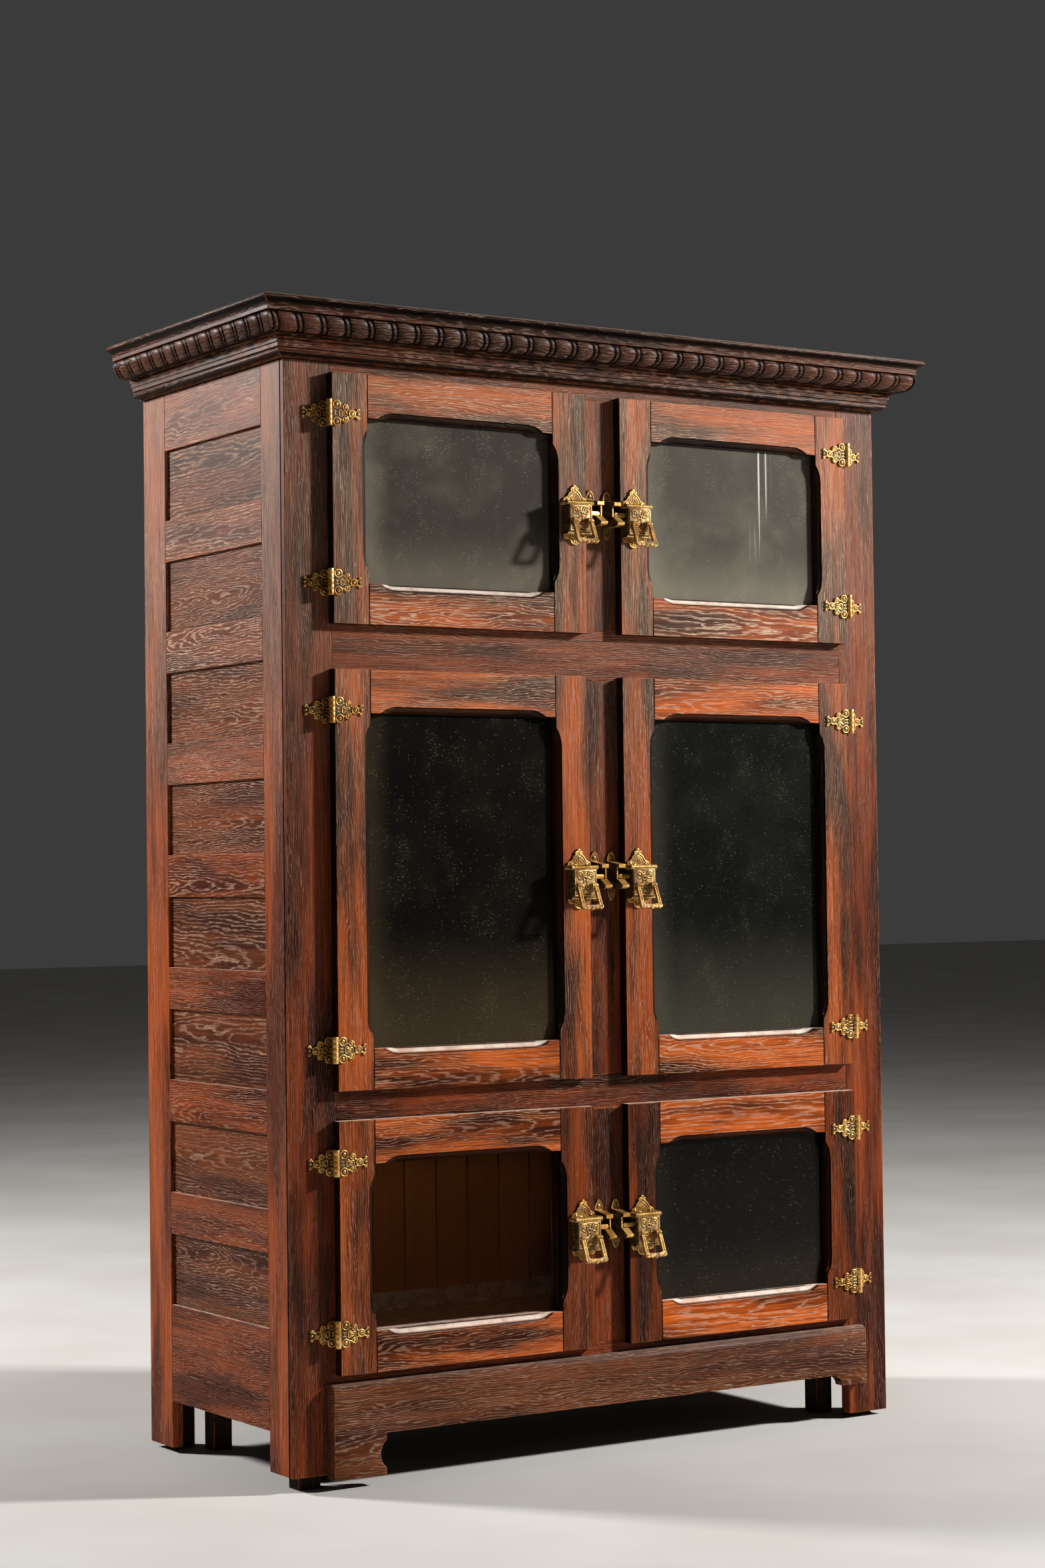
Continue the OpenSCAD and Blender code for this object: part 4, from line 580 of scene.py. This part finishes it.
g.put(gives["Cover"], g.math("MAXIMUM", covered, drips))
# Where the film covers much of a pane, its deep colour is painted shade of the chamber behind.
for door, (deep, pale, cover, drips, specks) in FILMS.items():
    low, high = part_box(door + "_glass")
    glass, s, skin, place = plain(door + "_haze_and_shade", rough=0.22, specular=0.12)
    film = s.add("ShaderNodeGroup", {"Corner": low, "Span": high - low, "Deep": deep, "Pale": pale,
                                     "Cover": cover, "Drips": drips, "Specks": specks},
                 node_tree=dust_and_shade_film)
    s.put(skin.inputs["Base Color"], film.outputs["Color"])
    s.put(skin.inputs["Alpha"], film.outputs["Cover"])
    paint(door + "_glass", glass)

# Hinges: cast brass leaves with scrolled relief, one on the door and an offset one on the face
# frame, with five knuckles on a drawn pin. Slotted screws hold them. The raised work is rubbed
# bright, and dark dirt lies in the hollows.

old_brass, g, takes, gives = group_of(
    "old_brass",
    [("Bright", "Color"), ("Dull", "Color")],
    [("Color", "Color"), ("Roughness", "Float"), ("Metallic", "Float")])
place = g.add("ShaderNodeTexCoord").outputs["Object"]
raised = g.add("ShaderNodeAttribute", attribute_name="raised").outputs["Fac"]
blotch = g.noise(place, (150.0, 150.0, 150.0), 3.0, 0.6).outputs["Fac"]
tarnish = g.noise(place, (28.0, 28.0, 28.0), 3.0, 0.6).outputs["Fac"]
clean = g.ramp(g.math("ADD", raised, g.math("MULTIPLY", g.math("SUBTRACT", blotch, 0.5), 0.7)), 0.1, 0.75)
bright = g.mix(g.ramp(tarnish, 0.38, 0.62), takes["Dull"], takes["Bright"])
g.put(gives["Color"], g.mix(clean, rgb(38, 25, 10), bright))
g.put(gives["Roughness"], g.ramp(clean, 0.0, 1.0, 0.7, 0.36))
g.put(gives["Metallic"], g.ramp(clean, 0.0, 1.0, 0.2, 0.7))


def brass(name, bright, dull):
    """Cast brass with dirt in its hollows."""
    material, s, skin, place = plain(name)
    skin_of = s.add("ShaderNodeGroup", {"Bright": bright, "Dull": dull}, node_tree=old_brass)
    for key in ("Color", "Roughness", "Metallic"):
        s.put(skin.inputs["Base Color" if key == "Color" else key], skin_of.outputs[key])
    return material


aged_brass = brass("aged_brass", rgb(238, 190, 108), rgb(186, 130, 56))


def turn(x, z, first, last, start, turns, steps=26):
    """Points of a ring or a scroll that runs from the first radius to the last."""
    points = []
    for i in range(steps + 1):
        angle = 2 * math.pi * (start / 360 + turns * i / steps)
        radius = first + (last - first) * i / steps
        points.append((x + radius * math.cos(angle), z + radius * math.sin(angle)))
    return points


EYE = turn(0, 0, 1, 1, 0, 1, 14)[:-1]
# The darkest mark, for dirt and painted shade in gutters, screw slots and the keyhole.
gutter_flat, screw_clean, dirt_and_shade = 0.12, 0.62, -1.0


class Relief:
    """Raised work on a casting, drawn in millimetres with the front towards -Y."""

    def __init__(self, gutters=None):
        self.gutters = gutters or {}
        self.bm = bmesh.new()
        self.raised = self.bm.faces.layers.float.new("raised")

    def mark(self, value):
        """Notes how clean the faces are that were made since the last call."""
        for face in self.bm.faces:
            if not face.tag:
                face[self.raised] = value
                face.smooth = value > 0
                face.tag = True

    def bar(self, points, thick, thin=None, ring=False, value=1.0, flat=1.0):
        """A round bar along points of (x, y, z), which may taper or be pressed flat on its ground."""
        curve = bpy.data.curves.new("bar", "CURVE")
        curve.dimensions = "3D"
        curve.bevel_depth = thick * MM
        curve.bevel_resolution = 1
        curve.use_fill_caps = not ring
        spline = curve.splines.new("POLY")
        spline.points.add(len(points) - 1)
        for i, (point, at) in enumerate(zip(spline.points, points)):
            point.co = (at[0] * MM, at[1] * MM, at[2] * MM, 1)
            point.radius = 1 + ((thin or thick) / thick - 1) * i / max(len(points) - 1, 1)
        spline.use_cyclic_u = ring
        holder = bpy.data.objects.new("bar", curve)
        mesh = bpy.data.meshes.new_from_object(holder)
        ground = points[0][1] * MM
        mesh.transform(Matrix.Translation((0, ground, 0)) @ Matrix.Diagonal((1, flat, 1, 1))
                       @ Matrix.Translation((0, -ground, 0)))
        self.bm.from_mesh(mesh)
        bpy.data.objects.remove(holder)
        bpy.data.curves.remove(curve)
        bpy.data.meshes.remove(mesh)
        self.mark(value)

    def line(self, y, points, thick, thin=None, ring=False, value=1.0):
        """A bar along points of (x, z), with a dark gutter beside it where its ground has one, as dirt and
        painted shade.
        """
        path = [(x, y, z) for x, z in points]
        self.bar(path, thick, thin, ring, value)
        gutter = self.gutters.get(y)
        if gutter:
            self.bar(path, thick + gutter, (thin or thick) + gutter, ring, dirt_and_shade, gutter_flat)

    def pair(self, y, points, thick, **more):
        """A bar and its mirror image to the left and right."""
        for flip in (-1, 1):
            self.line(y, [(flip * x, z) for x, z in points], thick, **more)

    def ring(self, x, y, z, radius, thick, **more):
        """A raised ring round a place."""
        self.line(y, turn(x, z, radius, radius, 0, 1, 18)[:-1], thick, ring=True, **more)

    def bead(self, x, y, z, radius, value=1.0):
        """A raised bead at a place."""
        bmesh.ops.create_icosphere(self.bm, subdivisions=1, radius=radius * MM,
                                   matrix=Matrix.Translation((x * MM, y * MM, z * MM)))
        self.mark(value)

    def screw(self, x, y, z, radius, slant):
        """A slotted screw head, with its slot at a slant in degrees."""
        seat = Matrix.Translation((x * MM, (y - 0.5) * MM, z * MM))
        bmesh.ops.create_cone(self.bm, cap_ends=True, segments=16, radius1=radius * MM,
                              radius2=radius * 0.8 * MM, depth=1.6 * MM,
                              matrix=seat @ Matrix.Rotation(math.pi / 2, 4, "X"))
        self.mark(screw_clean)
        # The slot is a bar marked dark, as dirt and painted shade in it.
        size = Matrix.Diagonal((radius * 1.7 * MM, 0.6 * MM, radius * 0.34 * MM, 1))
        bmesh.ops.create_cube(self.bm, size=1, matrix=seat @ Matrix.Translation((0, -0.65 * MM, 0))
                              @ Matrix.Rotation(math.radians(slant), 4, "Y") @ size)
        self.mark(dirt_and_shade)

    def stamp(self, bm, matrix):
        """Adds a copy of the relief to a casting."""
        mesh = bpy.data.meshes.new("relief")
        self.bm.to_mesh(mesh)
        mesh.transform(matrix)
        if matrix.determinant() < 0:
            mesh.flip_normals()
        bm.from_mesh(mesh)
        bpy.data.meshes.remove(mesh)


def leaf_relief(length):
    """The scrolls, rings and screws of a hinge leaf, with zero at its root."""
    r = Relief()
    for flip in (-1, 1):
        r.ring(8.3, 0, flip * 15.2, 7.1, 1.25)
        r.screw(8.3, 0, flip * 15.2, 4.2, 35 * flip)
        r.line(0, turn(25, flip * 10.5, 6.2, 1.6, -50 * flip, 1.45 * flip), 1.25, thin=0.9)
        r.bead(25, 0, flip * 10.5, 1.7)
        r.line(0, [(14.5, flip * 12), (17, flip * 10.8), (19.4, flip * 12.4)], 1.1)
        r.line(0, [(2, flip * 3.2), (9.5, flip * 3.2)], 0.8)
        r.line(0, [(30.5, flip * 7), (32.5, flip * 5.4), (length - 21, flip * 5.6)], 1.2)
        r.line(0, [(length - 11, flip * 3.6), (length - 7, flip * 5.2), (length - 5.5, flip * 7)], 1.1)
        r.line(0, turn(length - 3.4, flip * 7.2, 2.5, 0.7, 170 * flip, -1.1 * flip, 12), 0.9, thin=0.7)
        r.line(0, [(16, flip * 3), (25.5, 0)], 0.7)
    r.line(0, [(5.6, -3.2), (5.6, 3.2)], 0.8)
    r.ring(length - 16.5, 0, 0, 6.2, 1.45)
    r.screw(length - 16.5, 0, 0, 4.4, -50)
    r.bead(length - 3.4, 0, 0, 2.4)
    bell = [(12.8, 0), (13.4, 5), (16, 6.2), (19, 4.3), (23, 3.1), (27, 4.6), (28.8, 0)]
    r.line(0, bell + [(x, -z) for x, z in reversed(bell[1:-1])], 1.0, ring=True)
    r.line(0, [(19.5, -1.6), (19.5, 1.6)], 0.6)
    return r


cast_ease, cast_wide = 0.35 * MM, 1.2 * MM


def casting(node, value_of, stamps, material, body):
    """Dresses a brass node: soft arrises, dirt and painted light and shade by the facing of each face, and
    stamped relief.
    """
    bm = eased_copy(node, cast_ease, cast_wide, careful=True)
    layer = bm.faces.layers.float.new("raised")
    worn = bm.faces.layers.float["worn"]
    bm.normal_update()
    for face in bm.faces:
        face[layer] = max(value_of(face.calc_center_median(), face.normal), 0.8 * face[worn])
    for relief, matrix in stamps:
        relief.stamp(bm, matrix)
    return stand_in(bm, node + "_cast", material, node, body)


hinge_inset = 73 * MM


def hinge_places(door):
    """Where the two hinge axes of a door are: x, y and the middle of each barrel."""
    axis = next(j["pos_m"] for j in frame["joints"] if j["name"] == door + "_door_swing")
    low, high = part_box(door + "_door")
    return [Vector((axis[0], axis[1], z)) for z in (low.z + hinge_inset, high.z - hinge_inset)]


def handed(spot, hand):
    """A place on the left of the case as it is, or on the right in mirror image."""
    return Matrix.Translation(spot) @ Matrix.Diagonal((-hand, 1, 1, 1))


axis_out = abs(hinge_places("upper_left")[0].x)
barrel_reach, barrel_clean, ground_clean, edge_clean = 6.4 * MM, 0.9, 0.12, 0.5


def leaf_clean(at, facing):
    """How clean a face of a door leaf is: bright at the barrel, dirty on its ground."""
    if abs(abs(at.x) - axis_out) < barrel_reach:
        return barrel_clean
    return ground_clean if facing.y < -0.7 else edge_clean


# The roots of the leaves, as seen from the hinge axis: inwards and back.
door_root, frame_root = (6.3 * MM, -1.25 * MM), (5.5 * MM, 18.25 * MM)
door_leaf, frame_leaf = leaf_relief(length=56), leaf_relief(length=51)
outwards = Matrix.Diagonal((-1, 1, 1, 1))
frame_leaf_front = -246 * MM
frame_stamps = []
for door, hand in DOORS.items():
    stamps = []
    for axis in hinge_places(door):
        on_door = axis + Vector((-hand * door_root[0], door_root[1], 0))
        on_frame = axis + Vector((-hand * frame_root[0], frame_root[1], 0))
        stamps.append((door_leaf, handed(on_door, hand)))
        frame_stamps.append((frame_leaf, handed(on_frame, hand) @ outwards))
    casting(door + "_hinge_leaves", leaf_clean, stamps, aged_brass, door + "_door_leaf")
casting("frame_hinge_leaves",
        lambda at, facing: ground_clean if facing.y < -0.7 and at.y > frame_leaf_front else 0.75,
        frame_stamps, aged_brass, "cabinet")
pin_brass = brass("hinge_pin_brass", rgb(206, 166, 100), rgb(156, 116, 60))
casting("hinge_pins", lambda at, facing: 0.8, [], pin_brass, "cabinet")

# Latches: a hollow cast case on a scrolled plate, screwed to the free stile of each door.
# A roped bar runs round its top, its sides are reeded, and the front has scrolls and a keyhole.

# In millimetres from the middle of the latch: its front and its plate, the slot of the bolt, the
# back of the reeds, and the pivot of the bail.
FRONT, PLATE = -24, -3
SLOT_FRONT, SLOT_LOW, REED_BACK = -15, -9, -4
BAIL_Y, BAIL_Z = -29, -16


def latch_relief():
    """The ornament of a latch case, with zero at the middle of the door's face."""
    r = Relief({FRONT: 1.6, PLATE: 0.6})
    r.line(FRONT, [(-22.8, -34.6), (-22.8, 11.2), (22.8, 11.2), (22.8, -34.6)], 1.1, ring=True)
    for flip in (-1, 1):
        r.line(FRONT, turn(flip * 11.6, 2, 8.4, 2.2, 90 - 62 * flip, 1.5 * flip), 1.3, thin=0.9)
        r.bead(flip * 11.6, FRONT, 2, 1.6)
        for step in range(7):
            angle = math.radians(90 + flip * (40 - step * 40))
            r.bead(flip * 11.6 + 5.3 * math.cos(angle), FRONT, 2 + 5.3 * math.sin(angle), 0.8)
        r.line(FRONT, [(flip * 3.2, -4.5), (flip * 3.4, -9), (flip * 5.2, -14)], 1.0)
        r.line(FRONT, turn(flip * 5.6, -19, 4.4, 1, 90 - 30 * flip, 1.3 * flip), 1.0, thin=0.7)
        r.line(FRONT, turn(flip * 14.5, -24, 5.4, 1.2, 90 + 60 * flip, -1.3 * flip), 1.1, thin=0.7)
        r.line(FRONT, [(flip * 2, -26), (flip * 4.5, -31), (flip * 9, -32.5)], 1.0, thin=0.6)
        # The reeds on the sides are marked dull, as painted shade.
        for reed in range(11):
            z = 9 - 4.3 * reed
            back = SLOT_FRONT if flip > 0 and z > SLOT_LOW else REED_BACK
            r.bar([(flip * 25, -22.4, z), (flip * 25, back, z)], 1.0, value=0.3)
        r.screw(flip * 17, PLATE, 23, 3.6, 30 - 55 * flip)
        r.ring(flip * 17, PLATE, 23, 4.6, 0.9)
        r.ring(flip * 5, PLATE, 44, 2.7, 1.2)
        r.bead(flip * 5, PLATE, 44, 1.4)
        r.line(PLATE, turn(flip * 17.5, -43, 5.2, 1.2, 90 + 80 * flip, -1.4 * flip), 1.2, thin=0.8)
        r.line(PLATE, [(flip * 24, -38), (flip * 24.6, -43), (flip * 21, -48.5), (flip * 13, -49)], 1.1)
    crest = [(24.4, 15), (25.6, 20), (23.4, 26.2), (17.6, 28.4), (14.6, 30.6), (12, 36), (7, 40.4),
             (2.4, 43.4)]
    r.pair(PLATE, crest, 1.4)
    r.pair(PLATE, [(11.6, 21), (12.4, 27), (9.4, 32.6), (4.4, 36.8), (0, 39)], 0.9)
    r.ring(0, PLATE, 48.2, 2.8, 1.3)
    r.bead(0, PLATE, 48.2, 1.5)
    for petal in range(7):
        angle = math.radians(15 + 25 * petal)
        reach = 9.5 + 3 * math.sin(angle)
        r.line(PLATE, [(2 * math.cos(angle), 20 + 2 * math.sin(angle)),
                       (reach * 0.9 * math.cos(angle), 20 + reach * math.sin(angle))], 0.8, thin=1.3)
    r.bead(0, PLATE, 35.5, 1.3)
    r.ring(0, FRONT, -2.6, 3.6, 0.9)
    # The keyhole is a plug marked dark, as painted shade inside it.
    keyhole_r, keyhole_deep = 2.1 * MM, 0.6 * MM
    bmesh.ops.create_cone(r.bm, cap_ends=True, segments=12, radius1=keyhole_r, radius2=keyhole_r,
                          depth=keyhole_deep, matrix=Matrix.Translation((0, FRONT * MM, -2.4 * MM))
                          @ Matrix.Rotation(math.pi / 2, 4, "X"))
    bmesh.ops.create_cube(r.bm, size=1, matrix=Matrix.Translation((0, FRONT * MM, -6 * MM))
                          @ Matrix.Diagonal((2.2 * MM, keyhole_deep, 6.4 * MM, 1)))
    r.mark(dirt_and_shade)
    r.bead(0, FRONT, 7.6, 1.7)
    r.bead(0, FRONT, -28.5, 1.6)
    r.ring(0, PLATE, -48, 10.6, 1.35)
    for petal in range(8):
        angle = math.radians(22.5 + 45 * petal)
        r.line(PLATE, [(2.6 * math.cos(angle), -48 + 2.6 * math.sin(angle)),
                       (7.6 * math.cos(angle), -48 + 7.6 * math.sin(angle))], 0.7, thin=1.4)
    r.bead(0, PLATE, -48, 2)
    rope_y, rope_z, rope_end, rope_r, strand_r = -20, 17, 27, 3.2, 1.6
    step_long, step_turn = 0.75, 0.7

    def strand(start, first, last):
        """Steps along a strand of the rope, as distances along it, across it and up."""
        return [(i * step_long, rope_r * math.cos(i * step_turn + start),
                 rope_z + rope_r * math.sin(i * step_turn + start)) for i in range(first, last)]

    for start in (0, math.pi):
        r.bar([(run, rope_y + off, z) for run, off, z in strand(start, -36, 37)], strand_r, value=0.85)
        for end in (-rope_end, rope_end):
            r.bar([(end + off, rope_y + run, z) for run, off, z in strand(start, 0, 25)], strand_r,
                  value=0.6)
    for lug in (-15.3, -11.9, 11.9, 15.3):
        r.bar([(lug, BAIL_Y + 4 * y, BAIL_Z + 4 * z) for y, z in EYE], 0.8, ring=True)
    return r


latch_x, door_face = 66.5 * MM, -262 * MM


def latch_place(door, hand):
    """The middle of a latch on the face of its door."""
    low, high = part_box(door + "_door")
    return handed(Vector((hand * latch_x, door_face, (low.z + high.z) / 2)), hand)


latch_work = latch_relief()
for door, hand in DOORS.items():
    # The front ground of a case is dirty, and its sides are painted darker as shade.
    casting(door + "_latch_case",
            lambda at, facing: 0.38 if facing.y < -0.7 else (0.2 if abs(facing.x) > 0.7 else 0.45),
            [(latch_work, latch_place(door, hand))], aged_brass, door + "_door_leaf")

# Bails: cast stirrups that hang in the lugs of the cases, with beaded arms and a scrolled foot.
# They rest leaning out, as someone left them, and lift the bolts.


def bail_relief():
    """The beads and edges of a bail, hanging from zero, for both of its faces."""
    r = Relief()
    for face in (-2.5, 2.5):
        for flip in (-1, 1):
            for step in range(8):
                r.bead(flip * (19.4 + 0.16 * step), face, -6.5 - 4.2 * step, 1.25, 0.95)
            for edge in (-2.5, 2.9):
                r.line(face, [(flip * (19 + edge), -4), (flip * (19.6 + edge), -38)], 0.8)
            r.line(face, turn(flip * 9.2, -43.2, 3.6, 1, 90, -1.2 * flip, 16), 0.9, thin=0.7)
            r.line(face, [(flip * 22, -39), (flip * 23.4, -43), (flip * 20.5, -46.4),
                          (flip * 16, -45.6)], 0.9)
        r.bead(0, face, -44.5, 1.9)
    for flip in (-1, 1):
        r.bead(flip * 23.2, 0, 0, 2.7)
        r.bar([(flip * 21.4, 3.4 * y, 3.4 * z) for y, z in EYE], 0.8, ring=True)
    return r


bail_work = bail_relief()
bail_lean = math.radians(-22)
hang = Matrix.Translation((0, BAIL_Y * MM, BAIL_Z * MM)) @ Matrix.Rotation(bail_lean, 4, "X")
for door, hand in DOORS.items():
    casting(door + "_bail", lambda at, facing: 0.35 if abs(facing.y) > 0.7 else 0.8,
            [(bail_work, latch_place(door, hand) @ hang)], aged_brass, door + "_bail_ring")

# Bolts: plain cast bars, pivoted in the cases, that come out through a slot in the edge.
# They drop behind the hooks of the strikes.

for door in DOORS:
    casting(door + "_bolt", lambda at, facing: 0.55, [], aged_brass, door + "_bolt_bar")

# Strikes: keepers on the mullion, one to each bolt, with a reeded web, an arm and a ramped hook.
# Pointed tabs above and below hold them, with a slotted screw in the upper one.

TAB = -3
strike_x, hook_front = 19 * MM, -270 * MM


def strike_relief():
    """The rim and the screw of the tabs, with zero at the middle of the keeper."""
    r = Relief()
    r.pair(TAB, [(8.4, 29.5), (7.8, 35), (5.4, 41), (1.2, 46)], 1.1)
    r.screw(0, TAB, 35.4, 4.3, 50)
    r.bead(0, TAB, 43.2, 1.1)
    r.pair(TAB, [(8.4, -24), (7.6, -32), (5, -39), (1, -44)], 1.0, value=0.6)
    r.bead(0, TAB, -31, 1.6, 0.6)
    return r


strike_work = strike_relief()
strike_stamps = []
for door, hand in DOORS.items():
    low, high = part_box(door + "_door")
    spot = Vector((hand * strike_x, case_front, (low.z + high.z) / 2))
    strike_stamps.append((strike_work, handed(spot, hand)))


def strike_brightness(at, facing):
    """How clean a face of a keeper looks: dark at the sides as painted shade, bright on top as painted
    light from above, and bright at the hook.
    """
    if abs(facing.x) > 0.6:
        return 0.2
    return 0.95 if facing.z > 0.3 or at.y < hook_front else 0.3


casting("strikes", strike_brightness, strike_stamps, aged_brass, "cabinet")

# Camera: as the photograph was taken, from the left of the case and a little over its middle.
# Place, turn and lens were fitted to the corners of the case and the doors.

camera_data = bpy.data.cameras.new("camera")
camera_data.sensor_fit = "VERTICAL"
camera_data.sensor_height = 36
camera_data.lens = 69.64
camera = bpy.data.objects.new("camera", camera_data)
bpy.context.scene.collection.objects.link(camera)
bpy.context.scene.camera = camera
eye = (-3.201, -4.923, 1.0695)
yaw, pitch, roll = 0.574048, 0.03046, -0.011773
ahead = Vector((math.sin(yaw) * math.cos(pitch), math.cos(yaw) * math.cos(pitch), math.sin(pitch)))
right = Vector((math.cos(yaw), -math.sin(yaw), 0))
up = right.cross(ahead)
right, up = (math.cos(roll) * right + math.sin(roll) * up, math.cos(roll) * up - math.sin(roll) * right)
camera.matrix_world = Matrix.Translation(eye) @ Matrix((right, up, -ahead)).transposed().to_4x4()

# Stage: a plain pale floor, a soft key lamp to the right of the doors and a fill behind on the
# left, with a little even light from all round.

floor_paint, s, skin, place = plain("floor_paint", rough=0.8, specular=0.2)
mottle = s.ramp(s.noise(place, (1.5, 1.5, 1.5), 3.0).outputs["Fac"], 0.3, 0.7)
s.put(skin.inputs["Base Color"], s.mix(mottle, rgb(188, 184, 178), rgb(198, 195, 190)))
bm = bmesh.new()
floor_reach = 30
bmesh.ops.create_grid(bm, x_segments=1, y_segments=1, size=floor_reach)
floor_mesh = bpy.data.meshes.new("floor")
bm.to_mesh(floor_mesh)
bm.free()
floor_mesh.materials.append(floor_paint)
floor = bpy.data.objects.new("floor", floor_mesh)
bpy.context.scene.collection.objects.link(floor)
floor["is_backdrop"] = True

case_middle = Vector((0, 0, 1.0))
for name, spot, size, power in (("key", (4.6, -3.1, 3.5), 0.5, 680), ("fill", (-3.7, 3.9, 3.4), 0.8, 440)):
    lamp_data = bpy.data.lights.new(name, "AREA")
    lamp_data.size = size
    lamp_data.energy = power
    lamp = bpy.data.objects.new(name, lamp_data)
    bpy.context.scene.collection.objects.link(lamp)
    lamp.location = spot
    lamp.rotation_euler = (case_middle - Vector(spot)).to_track_quat("-Z", "Y").to_euler()

world = bpy.data.worlds.new("studio")
bpy.context.scene.world = world
world.use_nodes = True
sky = world.node_tree.nodes["Background"]
sky.inputs["Color"].default_value = (0.8, 0.8, 0.8, 1)
sky.inputs["Strength"].default_value = 0.055
bpy.context.scene.view_settings.view_transform = "Standard"

low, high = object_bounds()
